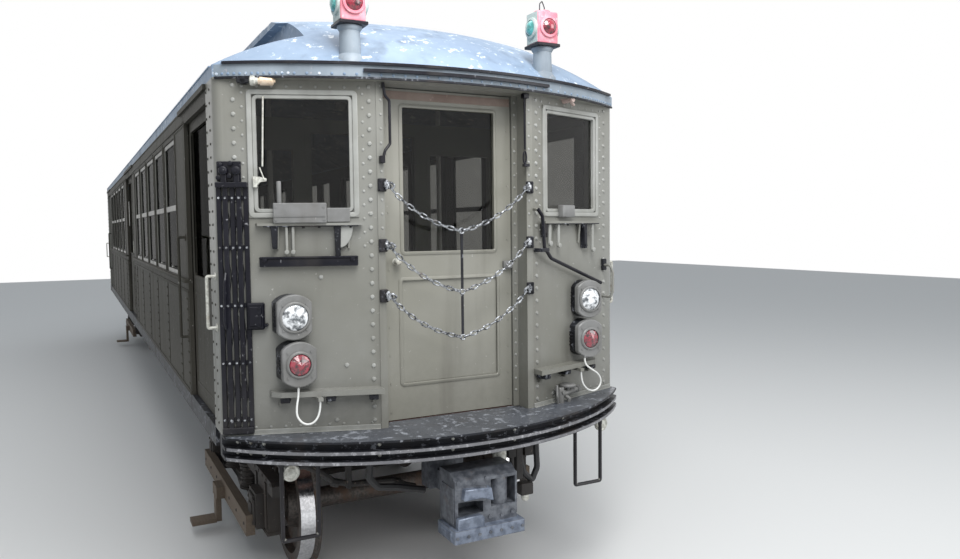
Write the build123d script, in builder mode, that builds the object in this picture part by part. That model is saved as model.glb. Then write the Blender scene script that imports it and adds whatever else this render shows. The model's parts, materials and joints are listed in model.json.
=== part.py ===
from build123d import *
import os
from math import asin, cos, pi, radians, sin, tan

# Riveted steel metro car, 1:1, in millimetres.
# +Z is up, the car runs along Y, and the end with the cables at its tail lamps faces -Y.
# The origin is on the centre line, midway between the ends, level with the flange tips.
# The rear end is the front one turned half a turn about Z.

os.makedirs("parts", exist_ok=True)

# Main heights, from the flange tips up
flange_height = 28
floor_top = flange_height + 1118
floor_thickness = 50
sill_bottom = floor_top - 118
belt_top = floor_top + 815
window_top = floor_top + 1842
header_bottom = floor_top + 1882
cornice_bottom = floor_top + 1985
cornice_top = cornice_bottom + 67
monitor_foot = floor_top + 2270
monitor_eave = floor_top + 2468
roof_crown = floor_top + 2540

# Body in plan
half_width = 1346
corner_y = 7130
end_reach = 650
panel_angle = radians(19)
wall = 100
end_wall_thickness = 60
corner_radius = 60
corner_return = 250
roof_sheet = 40
monitor_half_width = 880
monitor_wall_x = 820
eave_thickness = 38

# End doorway: posts that step in to the door's jambs
post_outer_x = 500
post_front_x = 470
post_inner_x = 432
post_depth = 195
jamb_depth = 118

# Side doorways and windows, as distances from the middle of the car
end_door_outer = corner_y - corner_return
end_door_width = 1000
centre_door_half = 640
window_pitch = 870
window_first = 5390
window_count = 5
mullion = 110
pocket_gap = 46
outer_skin = 28
leaf_thickness = 32
leaf_overlap = 30
leaf_lift = 6
hanger_width = 60
seat_gap = 0.3
track_depth = 32
glass_thickness = 6

# End door
storm_door_thickness = 36
storm_door_setback = 130
storm_door_top = floor_top + 1967
door_gap = 6
hinge_radius = 9
hinge_offset = hinge_radius + 1.5
hinge_x = post_inner_x - hinge_offset
hinge_depth = storm_door_setback + storm_door_thickness + hinge_offset
hinge_levels = (floor_top + 300, floor_top + 1000, floor_top + 1700)

# Trucks: wheel radius, half wheelbase and whether it is driven
truck_centre = 5486
wheel_back_to_back = 1360
wheel_width = 135
trailer_wheel_radius = 394
motor_wheel_radius = 432
trailer_half_base = 840
motor_half_base = 1016
axle_radius = 70
centre_plate_top = floor_top - 210

ends = (("front", -1), ("rear", 1))
sides = (("left", -1), ("right", 1))


def panel_y(x, inset=0.0):
    """Distance from the car's middle to the slanted end panel, at a distance x from the centre line."""
    return corner_y + (half_width - abs(x)) * tan(panel_angle) - inset / cos(panel_angle)


def end_line(inset, reach_x, end):
    """Corner and post points of one end panel, at one side."""
    edge = half_width - inset
    return [(edge, end * panel_y(edge, inset)), (reach_x, end * panel_y(reach_x, inset))]


def body_outline(inset):
    """Closed outline of the body in plan, a distance inset inside its skin."""
    front = end_line(inset, post_outer_x, -1)
    rear = end_line(inset, post_outer_x, 1)
    left_front = [(-x, y) for x, y in reversed(front)]
    left_rear = [(-x, y) for x, y in rear]
    return front + left_front + left_rear + list(reversed(rear))


def plate(points, bottom, top):
    """Prism over a closed outline in plan."""
    with BuildPart() as prism:
        with BuildSketch(Plane.XY.offset(bottom)):
            with BuildLine():
                Polyline(*points, close=True)
            make_face()
        extrude(amount=top - bottom)
    return prism.part


def block(x0, x1, y0, y1, z0, z1):
    """Box between two corners."""
    low = [min(x0, x1), min(y0, y1), min(z0, z1)]
    size = [abs(x1 - x0), abs(y1 - y0), abs(z1 - z0)]
    with BuildPart() as box:
        with Locations(tuple(low)):
            Box(*size, align=(Align.MIN, Align.MIN, Align.MIN))
    return box.part


def cylinder(x, y, z, radius, length, axis):
    """Cylinder centred on a point, along the named axis."""
    turn = {"X": (0, 90, 0), "Y": (90, 0, 0), "Z": (0, 0, 0)}[axis]
    with BuildPart() as rod:
        with Locations(Location((x, y, z), turn)):
            Cylinder(radius, length)
    return rod.part


def bent_rod(points, radius, bend):
    """Round rod through points, its corners bent to one radius."""
    with BuildPart() as rod:
        with BuildLine() as path:
            FilletPolyline(*points, radius=bend)
        with BuildSketch(Plane(origin=path.line @ 0, z_dir=path.line % 0)):
            Circle(radius)
        sweep(path=path.line)
    return rod.part


def panel_plane(side, end, x, z):
    """Plane on an end panel's skin: x runs along the panel, y up, z out of the car."""
    outward = (side * sin(panel_angle), end * cos(panel_angle), 0)
    along = (-end * cos(panel_angle), side * sin(panel_angle), 0)
    return Plane(origin=(side * x, end * panel_y(x), z), x_dir=along, z_dir=outward)


def panel_block(side, end, x, z, width, height, low, high):
    """Box on an end panel, from low to high out of its skin."""
    with BuildPart() as piece:
        with BuildSketch(panel_plane(side, end, x, z).offset(low)):
            Rectangle(width, height)
        extrude(amount=high - low)
    return piece.part


def panel_ring(side, end, x, z, width, height, border, low, high):
    """Rectangular moulding round a clear width and height on an end panel."""
    with BuildPart() as ring:
        with BuildSketch(panel_plane(side, end, x, z).offset(low)):
            Rectangle(width + 2 * border, height + 2 * border)
            Rectangle(width, height, mode=Mode.SUBTRACT)
        extrude(amount=high - low)
    return ring.part


def off_panel(end, x, z, out):
    """Point that stands off an end panel, where x is to the right as seen from outside the front."""
    return (-end * x, end * (panel_y(x) + out), z)


def panel_inside(end):
    """The space behind both end panels' skins, which pieces on them are cut by."""
    back = end * (corner_y - 300)
    corners = [(half_width, back), *end_line(0, post_outer_x, end)]
    mirrored = [(-x, y) for x, y in reversed(corners)]
    return plate(corners + mirrored, floor_top, cornice_bottom)


def finish(part, name):
    """Label a finished piece and write it."""
    part.label = name
    export_step(part, f"parts/{name}.step")


# Floor, inside the walls
floor_inset = wall + 20
with BuildPart() as floor:
    with BuildSketch(Plane.XY.offset(floor_top - floor_thickness)):
        with BuildLine():
            Polyline(*body_outline(floor_inset), close=True)
        make_face()
    extrude(amount=floor_thickness)
finish(floor.part, "floor")

# Underframe: side sills, centre sills, bolsters, cross bearers and end sills
frame_top = floor_top - floor_thickness
sill_inner = half_width - floor_inset
sill_flange = 60
centre_sill_x = 210
centre_sill_width = 90
centre_sill_bottom = frame_top - 150
bolster_width = 320
bolster_depth = 130
bearer_depth = 110
bearer_half = 60
centre_plate_radius = 190
end_sill = (corner_y - 260, corner_y - 140)
bearers = (-3600, -2200, -750, 750, 2200, 3600)
with BuildPart() as underframe:
    for side in (-1, 1):
        add(block(side * sill_inner, side * half_width, -end_door_outer, end_door_outer,
                  sill_bottom, floor_top))
        add(block(side * (sill_inner - sill_flange), side * (sill_inner + 10),
                  -end_door_outer, end_door_outer, sill_bottom, frame_top))
        near = centre_sill_x - centre_sill_width / 2
        add(block(side * near, side * (near + centre_sill_width), -corner_y - 100, corner_y + 100,
                  centre_sill_bottom, frame_top))
    for bearer_y in bearers:
        add(block(-sill_inner, sill_inner, bearer_y - bearer_half, bearer_y + bearer_half,
                  frame_top - bearer_depth, frame_top))
    for end in (-1, 1):
        add(block(-sill_inner, sill_inner, end * truck_centre - bolster_width / 2,
                  end * truck_centre + bolster_width / 2, frame_top - bolster_depth, frame_top))
        add(block(-sill_inner, sill_inner, end * end_sill[0], end * end_sill[1], sill_bottom, frame_top))
        with Locations((0, end * truck_centre, centre_plate_top)):
            Cylinder(centre_plate_radius, frame_top - centre_plate_top,
                     align=(Align.CENTER, Align.CENTER, Align.MIN))
finish(underframe.part, "underframe")

# Side walls between the end doorways and the centre doorway, with door pockets and windows
pocket_outer = half_width - outer_skin
pocket_inner = pocket_outer - pocket_gap
end_door_inner = end_door_outer - end_door_width
end_leaf_travel = end_door_width - 40
centre_leaf_travel = centre_door_half - 30
end_pocket_reach = end_door_inner - leaf_overlap - end_leaf_travel - 10
centre_pocket_reach = centre_door_half + leaf_overlap + centre_leaf_travel + 10
windows = [window_first - window_pitch * (k + 0.5) for k in range(window_count)]
window_width = window_pitch - mullion
window_z = (belt_top + window_top) / 2
window_height = window_top - belt_top
for side_name, side in sides:
    with BuildPart() as side_wall:
        for end in (-1, 1):
            add(block(side * (half_width - wall), side * half_width, end * centre_door_half,
                      end * end_door_inner, floor_top, header_bottom))
            add(block(side * pocket_inner, side * pocket_outer, end * end_pocket_reach,
                      end * (end_door_inner + 1), floor_top, header_bottom), mode=Mode.SUBTRACT)
            add(block(side * pocket_inner, side * pocket_outer, end * (centre_door_half - 1),
                      end * centre_pocket_reach, floor_top, header_bottom), mode=Mode.SUBTRACT)
            for window_y in windows:
                with Locations((side * half_width, end * window_y, window_z)):
                    Box(3 * wall, window_width, window_height, mode=Mode.SUBTRACT)
    finish(side_wall.part, f"side_wall_{side_name}")

    glass_x = half_width - outer_skin / 2
    with BuildPart() as side_glass:
        for end in (-1, 1):
            for window_y in windows:
                with Locations((side * glass_x, end * window_y, window_z)):
                    Box(glass_thickness, window_width, window_height)
    finish(side_glass.part, f"side_windows_{side_name}")

# Headers over the side windows and doorways, with the slots that the sliding doors hang in,
# and a drip strip over each doorway
drip_reach = 18
drip_height = 30
drips = ((-end_door_outer - 20, -end_door_inner + 200), (-centre_door_half - 140, centre_door_half + 140),
         (end_door_inner - 200, end_door_outer + 20))
with BuildPart() as headers:
    for side in (-1, 1):
        add(block(side * (half_width - wall), side * half_width, -end_door_outer, end_door_outer,
                  header_bottom, cornice_bottom))
        for end in (-1, 1):
            add(block(side * pocket_inner, side * pocket_outer, end * end_pocket_reach,
                      end * end_door_outer, header_bottom, header_bottom + track_depth), mode=Mode.SUBTRACT)
        add(block(side * pocket_inner, side * pocket_outer, -centre_pocket_reach, centre_pocket_reach,
                  header_bottom, header_bottom + track_depth), mode=Mode.SUBTRACT)
        for low, high in drips:
            add(block(side * half_width, side * (half_width + drip_reach), low, high,
                      cornice_bottom - drip_height, cornice_bottom))
finish(headers.part, "headers")

# Roof: a cross section with a raised monitor, bounded at each end by a hood turned about the car's end arc
roof_arc_lead = 410
roof_radius = (half_width ** 2 + roof_arc_lead ** 2) / (2 * roof_arc_lead)
hood_centre_y = corner_y + roof_arc_lead - roof_radius
hood_slope = radians(42)
deck_bulge = 22
crown_bulge = 18


def hood_body(shrink):
    """Solid below the hood's turned surface, for one end, grown smaller by shrink."""
    rise = roof_crown - cornice_top
    full_radius = rise / (1 - cos(hood_slope))
    hood_radius = full_radius - shrink
    crown = roof_crown - shrink
    foot = cornice_bottom - 1
    flat = roof_radius - full_radius * sin(hood_slope)
    with BuildPart() as hood:
        with BuildSketch(Plane.XZ):
            with BuildLine():
                Line((0, foot), (0, crown))
                Line((0, crown), (flat, crown))
                middle, last = [(flat + hood_radius * sin(turn), crown - hood_radius * (1 - cos(turn)))
                                for turn in (hood_slope / 2, hood_slope)]
                ThreePointArc((flat, crown), middle, last)
                Line(last, (last[0], foot))
                Line((last[0], foot), (0, foot))
            make_face()
        revolve(axis=Axis.Z, revolution_arc=360)
    return hood.part


def roof_body(shrink, eave_x):
    """The whole roof as a solid, grown smaller by shrink, with the monitor's eave at eave_x."""
    edge = half_width - shrink
    wall_x = monitor_wall_x - shrink
    foot = monitor_foot - shrink
    eave = monitor_eave - shrink
    crown = roof_crown - shrink
    with BuildPart() as solid:
        with BuildSketch(Plane.XZ.offset(-corner_y - roof_arc_lead)):
            with BuildLine():
                Line((0, cornice_bottom - 1), (edge, cornice_bottom - 1))
                Line((edge, cornice_bottom - 1), (edge, cornice_top - shrink))
                deck_mid = ((edge + wall_x) / 2, (cornice_top + monitor_foot) / 2 + deck_bulge - shrink)
                ThreePointArc((edge, cornice_top - shrink), deck_mid, (wall_x, foot))
                if eave_x > wall_x:
                    Polyline((wall_x, foot), (wall_x, eave - eave_thickness),
                             (eave_x, eave - eave_thickness), (eave_x, eave))
                else:
                    Line((wall_x, foot), (wall_x, eave))
                ThreePointArc((eave_x, eave), (eave_x / 2, crown - crown_bulge), (0, crown))
                Line((0, crown), (0, cornice_bottom - 1))
            make_face()
            mirror(about=Plane.YZ)
        extrude(amount=2 * (corner_y + roof_arc_lead))
        with BuildPart(mode=Mode.PRIVATE) as bound:
            add(block(-half_width, half_width, -hood_centre_y, hood_centre_y,
                      cornice_bottom - 1, roof_crown + 10))
            with Locations((0, hood_centre_y, 0), (0, -hood_centre_y, 0)):
                add(hood_body(shrink))
        add(bound.part, mode=Mode.INTERSECT)
    return solid.part


# Gutters that follow the hood's edge: half length, bottom, top and how far they stand out
gutters = (
    (1300, cornice_top + 1, cornice_top + 13, 14),
    (600, cornice_bottom + 28, cornice_bottom + 42, 20),
)
gutter_depth = 44


def arc_strip(radius, depth, reach, bottom, top, centre_y, end):
    """Strip along the outside of an end arc, out to its radius, within a reach of the centre line."""
    with BuildPart() as strip:
        with BuildSketch(Plane.XY.offset(bottom)):
            with Locations((0, end * centre_y)):
                Circle(radius)
                Circle(radius - depth, mode=Mode.SUBTRACT)
            with Locations((0, end * (centre_y + radius))):
                Rectangle(2 * reach, radius, mode=Mode.INTERSECT)
        extrude(amount=top - bottom)
    return strip.part


roof_solid = roof_body(0, monitor_half_width)
with BuildPart() as roof:
    add(roof_solid)
    for end in (-1, 1):
        for reach, bottom, top, proud in gutters:
            add(arc_strip(roof_radius + proud, gutter_depth, reach, bottom, top, hood_centre_y, end))
    add(roof_body(roof_sheet, monitor_wall_x - roof_sheet), mode=Mode.SUBTRACT)
    add(block(-2 * half_width, 2 * half_width, -9000, 9000, cornice_bottom - 10, cornice_bottom),
        mode=Mode.SUBTRACT)
finish(roof.part, "roof")

# End walls: two slanted panels with a framed window each, corner posts, the posts and head of the end
# doorway, and the lip under the hood
end_window_x = (634, 1154)
end_window_z = (floor_top + 1244, floor_top + 1896)
end_window_width = (end_window_x[1] - end_window_x[0]) / cos(panel_angle)
end_window_height = end_window_z[1] - end_window_z[0]
window_mid_x = sum(end_window_x) / 2
window_mid_z = sum(end_window_z) / 2
sash_border = 22
sash_depth = (-34, -8)
frame_border = 26
frame_proud = 8
lip_height = 10
lip_proud = 6
end_glass_depth = (-24, -24 + glass_thickness)
for end_name, end in ends:
    post_face = end * panel_y(post_outer_x)
    with BuildPart() as end_wall:
        for side in (-1, 1):
            outer = end_line(0, post_outer_x, end)
            inner = end_line(end_wall_thickness, post_outer_x, end)
            back = end * end_door_outer
            corner = [(half_width, back), outer[0], outer[1], inner[1], inner[0],
                      (half_width - end_wall_thickness, back)]
            add(plate([(side * x, y) for x, y in corner], floor_top, cornice_bottom))
            add(block(side * post_front_x, side * (post_outer_x + 12),
                      post_face, post_face - end * post_depth, floor_top, cornice_bottom))
            add(block(side * post_inner_x, side * post_outer_x, post_face - end * jamb_depth,
                      post_face - end * post_depth, floor_top, cornice_bottom))
            add(panel_block(side, end, window_mid_x, window_mid_z, end_window_width, end_window_height,
                            -100, 100), mode=Mode.SUBTRACT)
            corner_edges = end_wall.edges().filter_by(Axis.Z).filter_by_position(
                Axis.X, side * half_width - 1, side * half_width + 1).filter_by_position(
                Axis.Y, end * corner_y - 2, end * corner_y + 2)
            fillet(corner_edges, corner_radius)
            add(panel_ring(side, end, window_mid_x, window_mid_z, end_window_width, end_window_height,
                           frame_border, -10, frame_proud))
            add(panel_ring(side, end, window_mid_x, window_mid_z, end_window_width - 2 * sash_border,
                           end_window_height - 2 * sash_border, sash_border + 2, *sash_depth))
        for level in hinge_levels:
            hinge_y = end * (panel_y(post_outer_x) - hinge_depth)
            for low, high in ((level - 45, level - 15 - seat_gap), (level + 15 + seat_gap, level + 45)):
                add(cylinder(-end * hinge_x, hinge_y, (low + high) / 2, hinge_radius, high - low, "Z"))
                add(block(-end * hinge_x, -end * post_inner_x, hinge_y - 5, hinge_y + 5, low, high))
        add(block(-post_front_x, post_front_x, post_face, post_face - end * post_depth,
                  storm_door_top + door_gap, cornice_bottom))
        lip = arc_strip(roof_radius + lip_proud, roof_radius / 2, half_width, cornice_bottom - lip_height,
                        cornice_bottom, hood_centre_y, end)
        add(lip - plate(body_outline(end_wall_thickness / 2), cornice_bottom - 20, cornice_bottom + 1)
            - block(-half_width, half_width, 0, end * corner_y, cornice_bottom - 20, cornice_bottom + 1))
    finish(end_wall.part, f"end_wall_{end_name}")

with BuildPart() as end_glass:
    for end_name, end in ends:
        for side in (-1, 1):
            add(panel_block(side, end, window_mid_x, window_mid_z, end_window_width - 2 * sash_border,
                            end_window_height - 2 * sash_border, *end_glass_depth))
finish(end_glass.part, "end_windows")

# Anticlimbers: a ribbed channel bent to an arc, with the end platform's plate inside it
climber_bottom = floor_top - 128
climber_depth = 190
climber_groove = 55
climber_lead = 600
climber_radius = (half_width ** 2 + climber_lead ** 2) / (2 * climber_lead)
climber_centre_y = corner_y + end_reach - climber_radius
platform_thickness = 12
rib_levels = (
    (climber_bottom, climber_bottom + 20),
    (floor_top - 73, floor_top - 53),
    (floor_top - 10, floor_top),
)


def arc_sector(inner, outer, bottom, top, end):
    """Ring sector about the anticlimber's centre, between two radii and two heights."""
    with BuildPart() as sector:
        with BuildSketch(Plane.XY.offset(bottom)):
            with Locations((0, end * climber_centre_y)):
                Circle(outer)
                Circle(inner, mode=Mode.SUBTRACT)
            with Locations((0, end * (corner_y + 460))):
                Rectangle(2 * half_width, 1100, mode=Mode.INTERSECT)
        extrude(amount=top - bottom)
    return sector.part


for end_name, end in ends:
    with BuildPart() as anticlimber:
        inner_radius = climber_radius - climber_depth
        add(arc_sector(inner_radius, climber_radius - climber_groove, climber_bottom, floor_top, end))
        for low, high in rib_levels:
            add(arc_sector(inner_radius, climber_radius, low, high, end))
        add(arc_sector(300, inner_radius + 5, floor_top - platform_thickness, floor_top, end))
        cut = [(0, end * (corner_y - 500)), (sill_inner, end * (corner_y - 500)),
               (sill_inner, end * panel_y(sill_inner, floor_inset)),
               (post_outer_x, end * panel_y(post_outer_x, floor_inset)),
               (0, end * panel_y(post_outer_x, floor_inset))]
        for mirror_x in (-1, 1):
            add(plate([(mirror_x * x, y) for x, y in cut], climber_bottom - 1, floor_top + 1),
                mode=Mode.SUBTRACT)
            add(block(mirror_x * (half_width + 60), mirror_x * sill_inner, end * (end_door_outer - 900),
                      end * end_door_outer, climber_bottom - 1, floor_top + 1), mode=Mode.SUBTRACT)
    finish(anticlimber.part, f"anticlimber_{end_name}")


# Cables of the front end, each from a gland under its tail lamp to a socket below the foot step.
# Points give the distance from the centre line, the height over the floor and how far the cable stands
# out from the end panel.
cable_radius = 6
gland_radius = 11
gland_length = 20
cable_routes = (
    ("left", -1, ((975, 282, 112), (975, 236, 112), (990, 180, 128), (994, 120, 140), (955, 74, 142),
                  (903, 82, 138), (867, 140, 120), (867, 200, 120))),
    ("right", 1, ((930, 282, 112), (930, 240, 112), (975, 205, 135), (1050, 160, 150), (1075, 95, 150),
                  (1020, 50, 142), (940, 66, 134), (885, 130, 120), (885, 200, 120))),
)

# Headlamps above the tail lamps: distance from the centre line, height, reach out of the panel,
# lens radius and how far the lens bulges
lamp_rows = ((985, floor_top + 668, 118, 72, 14), (970, floor_top + 408, 136, 60, 24))
lamp_half = 96
lamp_radius = 126
bezel = 15
bezel_proud = 12
for end_name, end in ends:
    with BuildPart() as lamps:
        for side in (-1, 1):
            for lamp_x, lamp_z, reach, lens_radius, bulge in lamp_rows:
                front = Plane(origin=(side * lamp_x, end * (panel_y(lamp_x) + reach), lamp_z),
                              x_dir=(1, 0, 0), z_dir=(0, end, 0))
                with BuildSketch(front):
                    Circle(lamp_radius)
                    Rectangle(2 * lamp_half, 2 * lamp_radius, mode=Mode.INTERSECT)
                extrude(amount=-reach - 60)
                with BuildSketch(front):
                    Circle(lens_radius + bezel)
                extrude(amount=bezel_proud)
                with BuildSketch(front):
                    Circle(lens_radius)
                extrude(amount=bezel_proud + bulge, taper=50 if bulge < lens_radius / 4 else 40)
        for cable_name, side, route in cable_routes:
            gland_x, gland_z, gland_out = route[0]
            if end == -1:
                add(cylinder(side * gland_x, end * (panel_y(gland_x) + gland_out),
                             floor_top + gland_z + gland_length / 2, gland_radius, gland_length, "Z"))
        add(panel_inside(end), mode=Mode.SUBTRACT)
    finish(lamps.part, f"end_lamps_{end_name}")

# Marker lamps over the hood: a flared post, a box, a cap and a lens on each of the four sides
marker_x = 634
marker_y = corner_y + 222
marker_post_radius = 57
marker_foot_radius = 84
marker_foot_z = floor_top + 2095
marker_low = floor_top + 2290
marker_high = floor_top + 2495
marker_half = 73
marker_lens_radius = 50
with BuildPart() as markers:
    for end_name, end in ends:
        for side in (-1, 1):
            foot = (side * marker_x, end * marker_y, 0)
            with BuildSketch(Plane(origin=foot, x_dir=(1, 0, 0), z_dir=(0, -1, 0))):
                with BuildLine():
                    Polyline((0, cornice_top), (marker_foot_radius, cornice_top),
                             (marker_foot_radius, marker_foot_z), (marker_post_radius, marker_foot_z + 45),
                             (marker_post_radius, marker_low + 5), (0, marker_low + 5), close=True)
                make_face()
            revolve(axis=Axis(foot, (0, 0, 1)))
            middle = (marker_low + marker_high) / 2
            with Locations((side * marker_x, end * marker_y, middle)):
                Box(2 * marker_half, 2 * marker_half, marker_high - marker_low)
            with Locations((side * marker_x, end * marker_y, marker_low)):
                Box(2 * marker_half + 18, 2 * marker_half + 18, 20)
            with Locations((side * marker_x, end * marker_y, marker_high + 8)):
                Cone(56, 30, 20)
            with Locations((side * marker_x, end * marker_y, middle + 6)):
                for turn in ((90, 0, 0), (0, 90, 0)):
                    Cylinder(marker_lens_radius + 14, 2 * marker_half + 28, rotation=turn)
                    Cylinder(marker_lens_radius * 0.8, 2 * marker_half + 64, rotation=turn)
    add(roof_solid, mode=Mode.SUBTRACT)
finish(markers.part, "marker_lamps")

# Folded lattice gates at each end's left corner, as seen from outside: channel bars on straps,
# with a latch box, a head with rollers and a foot bracket
gate_low = floor_top + 34
gate_high = floor_top + 1388
gate_bars = 5
gate_first_x = 1192
gate_pitch = 34
gate_bar_width = 26
gate_bar_out = (14, 26)
gate_strap_out = (6, 16)
gate_levels = (gate_low + 60, gate_low + 380, gate_low + 700, gate_low + 1020, gate_high - 60)
gate_mid_x = gate_first_x + gate_pitch * (gate_bars - 1) / 2
gate_span = gate_pitch * (gate_bars - 1) / cos(panel_angle) + gate_bar_width
for end_name, end in ends:
    side = end
    with BuildPart() as gate:
        for k in range(gate_bars):
            bar_x = gate_first_x + gate_pitch * k
            middle_z = (gate_low + gate_high) / 2
            out = gate_bar_out[k % 2]
            add(panel_block(side, end, bar_x, middle_z, gate_bar_width, gate_high - gate_low, out, out + 8))
            for edge in (-1, 1):
                flange_x = bar_x + edge * (gate_bar_width / 2 - 3)
                add(panel_block(side, end, flange_x, middle_z, 4, gate_high - gate_low, out - 8, out + 4))
        for level in gate_levels:
            add(panel_block(side, end, gate_mid_x, level, gate_span, 26, *gate_strap_out))
        for level in (gate_low + 200, gate_high - 200):
            add(panel_block(side, end, gate_mid_x - gate_pitch, level, 60, 40, seat_gap, gate_strap_out[1]))
        add(panel_block(side, end, gate_mid_x, gate_high + 10, gate_span, 30, seat_gap, 52))
        for roller_x in (gate_mid_x - 40, gate_mid_x + 25):
            add(panel_block(side, end, roller_x, gate_high + 55, 30, 80, 10, 34))
            add(panel_block(side, end, roller_x, gate_high + 78, 52, 34, seat_gap, 46))
        add(panel_block(side, end, gate_mid_x, gate_low, gate_span, 36, seat_gap, 40))
        add(panel_block(side, end, gate_first_x - 36, floor_top + 672, 96, 150, seat_gap, 42))
        add(panel_inside(end), mode=Mode.SUBTRACT)
    finish(gate.part, f"gate_{end_name}")

# Safety chains across the end doorway: links in two crossed planes along two sagging runs each,
# and a strap down their middles
chain_levels = ((floor_top + 1397, 265), (floor_top + 1055, 285), (floor_top + 767, 270))
chain_out = 30
chain_x = 468
chain_bulge = 45
link_length = 66
link_width = 32
link_bar = 8
links_per_run = 9
bracket_width = 50
bracket_height = 74
lug_size = 30


def chain_run(start, last):
    """Points and directions of links along a sagging run, with its bulge below the chord."""
    chord = last - start
    down = Vector(-chord.Z, 0, chord.X).normalized()
    down = down if down.Z < 0 else -down
    radius = (chord.length ** 2 / 4 + chain_bulge ** 2) / (2 * chain_bulge)
    centre = (start + last) * 0.5 - down * (radius - chain_bulge)
    half_turn = asin(chord.length / 2 / radius)
    for k in range(links_per_run):
        turn = half_turn * (2 * (k + 0.5) / links_per_run - 1)
        ray = down * cos(turn) + chord.normalized() * sin(turn)
        tangent = chord.normalized() * cos(turn) - down * sin(turn)
        yield centre + ray * radius, tangent


def chain_link(origin, tangent, roll):
    """One link, a flat ring with cut corners, rolled about the chain."""
    out = Vector(0, 1, 0)
    across = tangent.cross(out)
    normal = out * cos(roll) + across * sin(roll)
    nose = link_length / 2 - link_width * 0.4
    hole = (link_length - 2 * link_bar, link_width - 2 * link_bar)
    with BuildPart() as link:
        with BuildSketch(Plane(origin=origin, x_dir=tangent, z_dir=normal)):
            with BuildLine():
                Polyline((link_length / 2, 0), (nose, link_width / 2), (-nose, link_width / 2),
                         (-link_length / 2, 0), (-nose, -link_width / 2), (nose, -link_width / 2),
                         close=True)
            make_face()
            Rectangle(*hole, mode=Mode.SUBTRACT)
        extrude(amount=link_bar / 2, both=True)
    return link.part


post_face = -panel_y(post_outer_x)
chain_y = post_face - chain_out
links = []
for level, sag in chain_levels:
    knot = Vector(0, chain_y, level - sag)
    for side in (-1, 1):
        hung = Vector(side * (chain_x - lug_size / 4), chain_y, level)
        for k, (origin, tangent) in enumerate(chain_run(hung, knot)):
            links.append(chain_link(origin, tangent, radians(45 + 90 * (k % 2))))
with BuildPart() as chains:
    add(links)
    for level, sag in chain_levels:
        add(cylinder(0, chain_y, level - sag, link_width / 2, link_bar + 4, "Y"))
        for side in (-1, 1):
            bracket_x = post_front_x - 8
            add(block(side * bracket_x, side * (bracket_x + bracket_width), post_face, post_face - 16,
                      level - bracket_height / 2, level + bracket_height / 2))
            add(block(side * (chain_x - lug_size / 2), side * (chain_x + lug_size / 2), post_face,
                      chain_y - 10, level - lug_size / 2, level + lug_size / 2))
    knots = [level - sag for level, sag in chain_levels]
    add(block(-7, 7, chain_y - 3, chain_y + 3, min(knots), max(knots)))
finish(chains.part, "chains_front")
finish(chains.part.rotate(Axis.Z, 180), "chains_rear")

# Foot steps, ledges under the end windows, grab rods, stirrups and the air cock of each end.
# Places are those of the front: x to the right, heights over the floor, reach out of the panel.
step_z = floor_top + 220
step_thickness = 30
step_reach = 95
step_x = (520, 1100)
ledge_z = floor_top + 1172
ledge_thickness = 14
ledge_reach = 48
ledge_x = (600, 1150)
gusset_rows = ((step_z, step_reach, (560, 800, 1050), 60), (ledge_z, ledge_reach, (670, 960, 1040), 130))
gusset_width = 12
grab_bar = (-1130, -620, floor_top + 972, 56, 34)
grab_radius = 9
grab_bend = 22
rods = (
    ((526, 1262, -5), (526, 1262, 50), (564, 1218, 55), (582, 1020, 55), (645, 950, 55), (1165, 762, 55),
     (1165, 762, -5)),
    ((1236, 880, -5), (1236, 880, 90), (1250, 830, 105), (1250, 700, 105), (1238, 660, 90), (1238, 660, -5)),
)
stirrup_x = (873, 1077)
stirrup_z = (floor_top - 578, climber_bottom + 8)
stirrup_out = 95
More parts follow.
